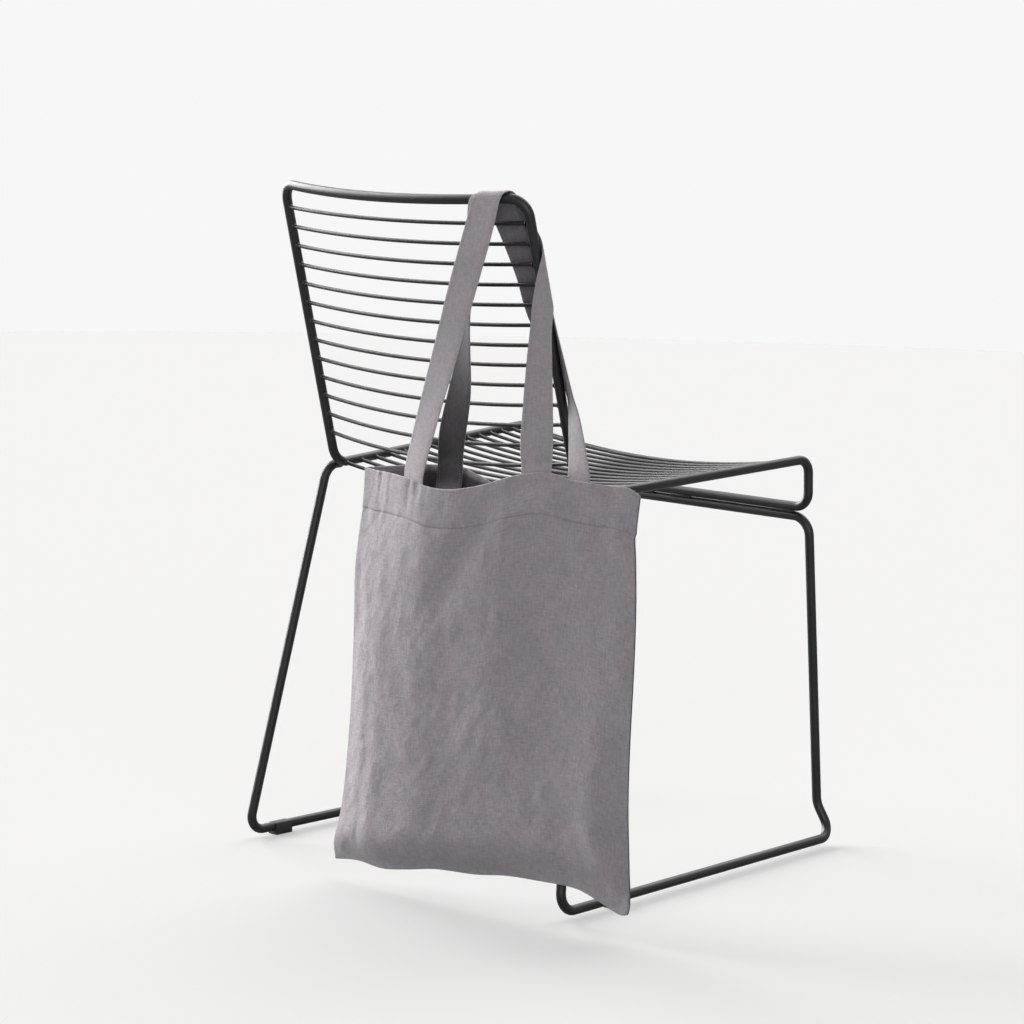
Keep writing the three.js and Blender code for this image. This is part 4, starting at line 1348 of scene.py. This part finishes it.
def thread_object(name, runs, length, dusk=None):
    """All stitches of one seam as a single piece of small closed threads."""
    places, alongs, faces = (np.concatenate([run[k] for run in runs]) for k in range(3))
    rings = np.array([
        (reach * length / 2, width * THREAD * math.cos(angle),
         width * THREAD * math.sin(angle) + lift)
        for reach, width, lift in STITCH_RINGS
        for angle in (2 * math.pi * k / STITCH_SIDES for k in range(STITCH_SIDES))
    ])
    size = len(rings)
    one = places[:, None] + rings[None, :, :1] * alongs[:, None]
    one = one + rings[None, :, 1:2] * np.cross(alongs, faces)[:, None]
    one = one + rings[None, :, 2:] * faces[:, None]
    pattern = []
    for ring in range(len(STITCH_RINGS) - 1):
        for k in range(STITCH_SIDES):
            a, b = (ring * STITCH_SIDES + corner % STITCH_SIDES for corner in (k, k + 1))
            pattern.append((a, a + STITCH_SIDES, b + STITCH_SIDES, b))
    pattern += [tuple(range(STITCH_SIDES)), tuple(range(size - 1, size - 1 - STITCH_SIDES, -1))]
    polygons = [tuple(i * size + j for j in face) for i in range(len(one)) for face in pattern]
    mesh = bpy.data.meshes.new(name)
    mesh.from_pydata((one.reshape(-1, 3) * MM).tolist(), [], polygons)
    mesh.update()
    corners = np.array([loop.vertex_index for loop in mesh.loops])
    flat = np.arange(len(mesh.vertices))[:, None] * THREAD_UV
    # Painted shade of the threads, where it is given.
    darker = np.repeat(dusk(places, faces), size) if dusk else None
    obj = new_cloth(name, mesh, flat, corners, darker)
    edit(obj)
    bpy.ops.mesh.select_all(action="SELECT")
    bpy.ops.mesh.normals_make_consistent(inside=False)
    leave()
    only(obj)
    bpy.ops.object.shade_smooth()
    return obj


def panel_line(side, u, depth, outside):
    """A sewn line on a panel's finished surface, with its normals, outside or inside."""
    u, depth = np.broadcast_arrays(np.asarray(u, float), np.asarray(depth, float))
    step_u, step_d = 0.0015, 0.5

    def surface(u, depth):
        return panel_surface(side, u, 1 - depth / HEIGHT, depth)

    across = surface(u + step_u, depth) - surface(u - step_u, depth)
    up = surface(u, np.maximum(depth - step_d, 0)) - surface(u, depth + step_d)
    normal = unit(np.cross(across, up)) * PANELS[side][3] * (1 if outside else -1)
    return surface(u, depth) + normal * panel_thickness(depth)[..., None] / 2, normal


class OBJECT_OT_tote_sewing(bpy.types.Operator):
    """Sews the hems, the handles' edges and their feet with single threads"""

    bl_idname = "object.tote_sewing"
    bl_label = "Sewing"

    def execute(self, context):
        thread = finish("sewing_thread")
        pitch, hem = tote().stitch / MM, tote().hem / MM
        length, gap = STITCH_THREAD * pitch, STITCH_GAP * pitch
        half = tote().strap_width / MM / 2
        for handle in (FRONT_HANDLE, BACK_HANDLE):
            # The hem's stitches, a second line near the left foot, and one line at each foot.
            side, foot = handle["side"], (half - FOOT_SEAM) / WIDTH
            lines = [
                (np.linspace(*HEM_SEAM), hem),
                (np.linspace(*SECOND_HEM_SEAM), hem - SECOND_SEAM),
            ]
            feet = [
                (np.linspace(share - foot, share + foot, 40), FOOT_SEAM_DEPTH)
                for share, _ in (handle["left_foot"], handle["right_foot"])
            ]
            runs = [
                stitch_run(*panel_line(side, u, depth, outside), STITCH_LIFT, length, gap)
                for outside in (True, False)
                for u, depth in (lines + feet if outside else lines)
            ]
            sewn = thread_object(f"{side}_hem_thread", runs, length)
            hand_over(sewn, thread, "linen")
        for handle in (FRONT_HANDLE, BACK_HANDLE):
            # Both edges of the handle, on both skins.
            grid = strap_grid(handle)
            thick, _ = strap_thickness(grid, handle["seed"])
            normals = grid_normals(grid, -1)
            places = strap_places()
            runs = []
            for place in (EDGE_SEAM - half, half - EDGE_SEAM):
                j = np.interp(place, places, np.arange(len(places)))
                low, share = int(j), j - int(j)
                line, face, deep = (
                    lerp(values[low], values[low + 1], share) for values in (grid, normals, thick)
                )
                for sign in (1, -1):
                    points = line + sign * face * deep[:, None] / 2
                    runs.append(stitch_run(points, sign * face, 0.0, length, gap))
            # The back handle's threads get painted shade along its left leg.
            dusk = leg_painted_shade if handle is BACK_HANDLE else None
            sewn = thread_object(f"{handle['side']}_handle_thread", runs, length, dusk)
            hand_over(sewn, thread, "linen")
        return {"FINISHED"}


# ================================================================ the stage
def floor_material(settings):
    """Pale floor that glows a little where it is seen, so that shadows on it stay soft."""
    tree, shader = new_material("floor_paint", {
        "Specular IOR Level": 0.0, "Roughness": 0.9, "Emission Color": (1.0, 0.997, 0.992, 1),
    })
    seen, unseen = settings.floor_tone, settings.floor_bounce
    camera_ray = node(tree, "ShaderNodeLightPath").outputs["Is Camera Ray"]
    tint = mixed(tree, camera_ray, (unseen,) * 3, (seen, seen * 0.994, seen * 0.985))
    glow = arithmetic(tree)[2](camera_ray, settings.floor_glow)
    feed(tree, shader, {"Base Color": tint, "Emission Strength": glow})
    arrange(tree)
    return bpy.data.materials["floor_paint"]


def white_room(scene, settings):
    """The white room shows as a backdrop and in reflections, and lights the pieces weakly."""
    scene.world = scene.world or bpy.data.worlds.new("room")
    scene.world.use_nodes = True
    tree = scene.world.node_tree
    add, _, times = arithmetic(tree)
    path = node(tree, "ShaderNodeLightPath").outputs
    seen = times(path["Is Camera Ray"], settings.backdrop - settings.room)
    gloss = times(path["Is Glossy Ray"], settings.gloss - settings.room)
    feed(tree, tree.nodes["Background"], {
        "Color": (0.992, 0.994, 1.0, 1), "Strength": add(add(seen, gloss), settings.room),
    })
    arrange(tree)


def photograph_camera(scene):
    heading, pitch, roll = (math.radians(CAMERA[k]) for k in ("heading", "pitch", "roll"))
    level = Vector((math.cos(heading), math.sin(heading), 0))
    ahead = Vector((-math.sin(heading), math.cos(heading), 0))
    forward = ahead * math.cos(pitch) - Vector((0, 0, math.sin(pitch)))
    up = level.cross(forward)
    right = level * math.cos(roll) + up * math.sin(roll)
    up = up * math.cos(roll) - level * math.sin(roll)
    data = bpy.data.cameras.new("view")
    data.lens, data.sensor_width, data.clip_end = CAMERA["lens"], CAMERA["sensor"], CAMERA["end"]
    camera = bpy.data.objects.new("view", data)
    scene.collection.objects.link(camera)
    turn = Matrix((right, up, -forward)).transposed().to_4x4()
    camera.matrix_world = Matrix.Translation(CAMERA["place"]) @ turn
    scene.camera = camera


class SCENE_OT_tote_stage(bpy.types.Operator):
    """Sets the pale floor, the white room, the soft lights and the photograph's camera"""

    bl_idname = "scene.tote_stage"
    bl_label = "Stage"

    def execute(self, context):
        scene, settings = context.scene, context.scene.tote_stage
        scene.view_settings.view_transform = "Standard"
        white_room(scene, settings)
        floor = primitive("circle", vertices=96, radius=7, fill_type="NGON",
                          location=(0, 0, -0.0003))
        floor.name = "pale_floor"
        apply_all(floor)
        floor.data.materials.append(floor_material(settings))
        photograph_camera(scene)
        for key, toward, angle in LAMPS:
            lamp = bpy.data.lights.new(f"{key}_light", "SUN")
            lamp.energy = getattr(settings, key)
            lamp.angle = math.radians(angle)
            obj = bpy.data.objects.new(f"{key}_light", lamp)
            scene.collection.objects.link(obj)
            obj.rotation_euler = Vector(toward).to_track_quat("Z", "Y").to_euler()
        return {"FINISHED"}


class VIEW3D_PT_tote(bpy.types.Panel):
    """Lists the steps that build the bag and the chair"""

    bl_label = "Linen tote"
    bl_idname = "VIEW3D_PT_tote"
    bl_space_type = "VIEW_3D"
    bl_region_type = "UI"
    bl_category = "Tote"

    def draw(self, context):
        scene = context.scene
        for title, group, steps in (
            ("Chair", scene.tote_chair, CHAIR_STEPS),
            ("Bag", scene.tote_bag, BAG_STEPS),
            ("Stage", scene.tote_stage, STAGE_STEPS),
        ):
            box = self.layout.box()
            box.label(text=title)
            for key in group.__annotations__:
                box.prop(group, key)
            for step in steps:
                box.operator(step.bl_idname)


CHAIR_STEPS = (OBJECT_OT_wire_chair_frame, OBJECT_OT_wire_chair_rods, OBJECT_OT_wire_chair_glides)
BAG_STEPS = (OBJECT_OT_tote_panels, OBJECT_OT_tote_handles, OBJECT_OT_tote_sewing)
STAGE_STEPS = (SCENE_OT_tote_stage,)
CLASSES = (
    ChairSizes, ToteSizes, StageSettings, *STAGE_STEPS, *CHAIR_STEPS, *BAG_STEPS, VIEW3D_PT_tote,
)


def register():
    for cls in CLASSES:
        bpy.utils.register_class(cls)
    bpy.types.Scene.tote_chair = PointerProperty(type=ChairSizes)
    bpy.types.Scene.tote_bag = PointerProperty(type=ToteSizes)
    bpy.types.Scene.tote_stage = PointerProperty(type=StageSettings)


def unregister():
    del bpy.types.Scene.tote_stage
    del bpy.types.Scene.tote_bag
    del bpy.types.Scene.tote_chair
    for cls in reversed(CLASSES):
        bpy.utils.unregister_class(cls)


def main():
    register()
    bpy.ops.scene.tote_stage()
    bpy.ops.object.wire_chair_frame()
    bpy.ops.object.wire_chair_rods()
    bpy.ops.object.wire_chair_glides()
    bpy.ops.object.tote_panels()
    bpy.ops.object.tote_handles()
    bpy.ops.object.tote_sewing()


if __name__ == "__main__":
    main()
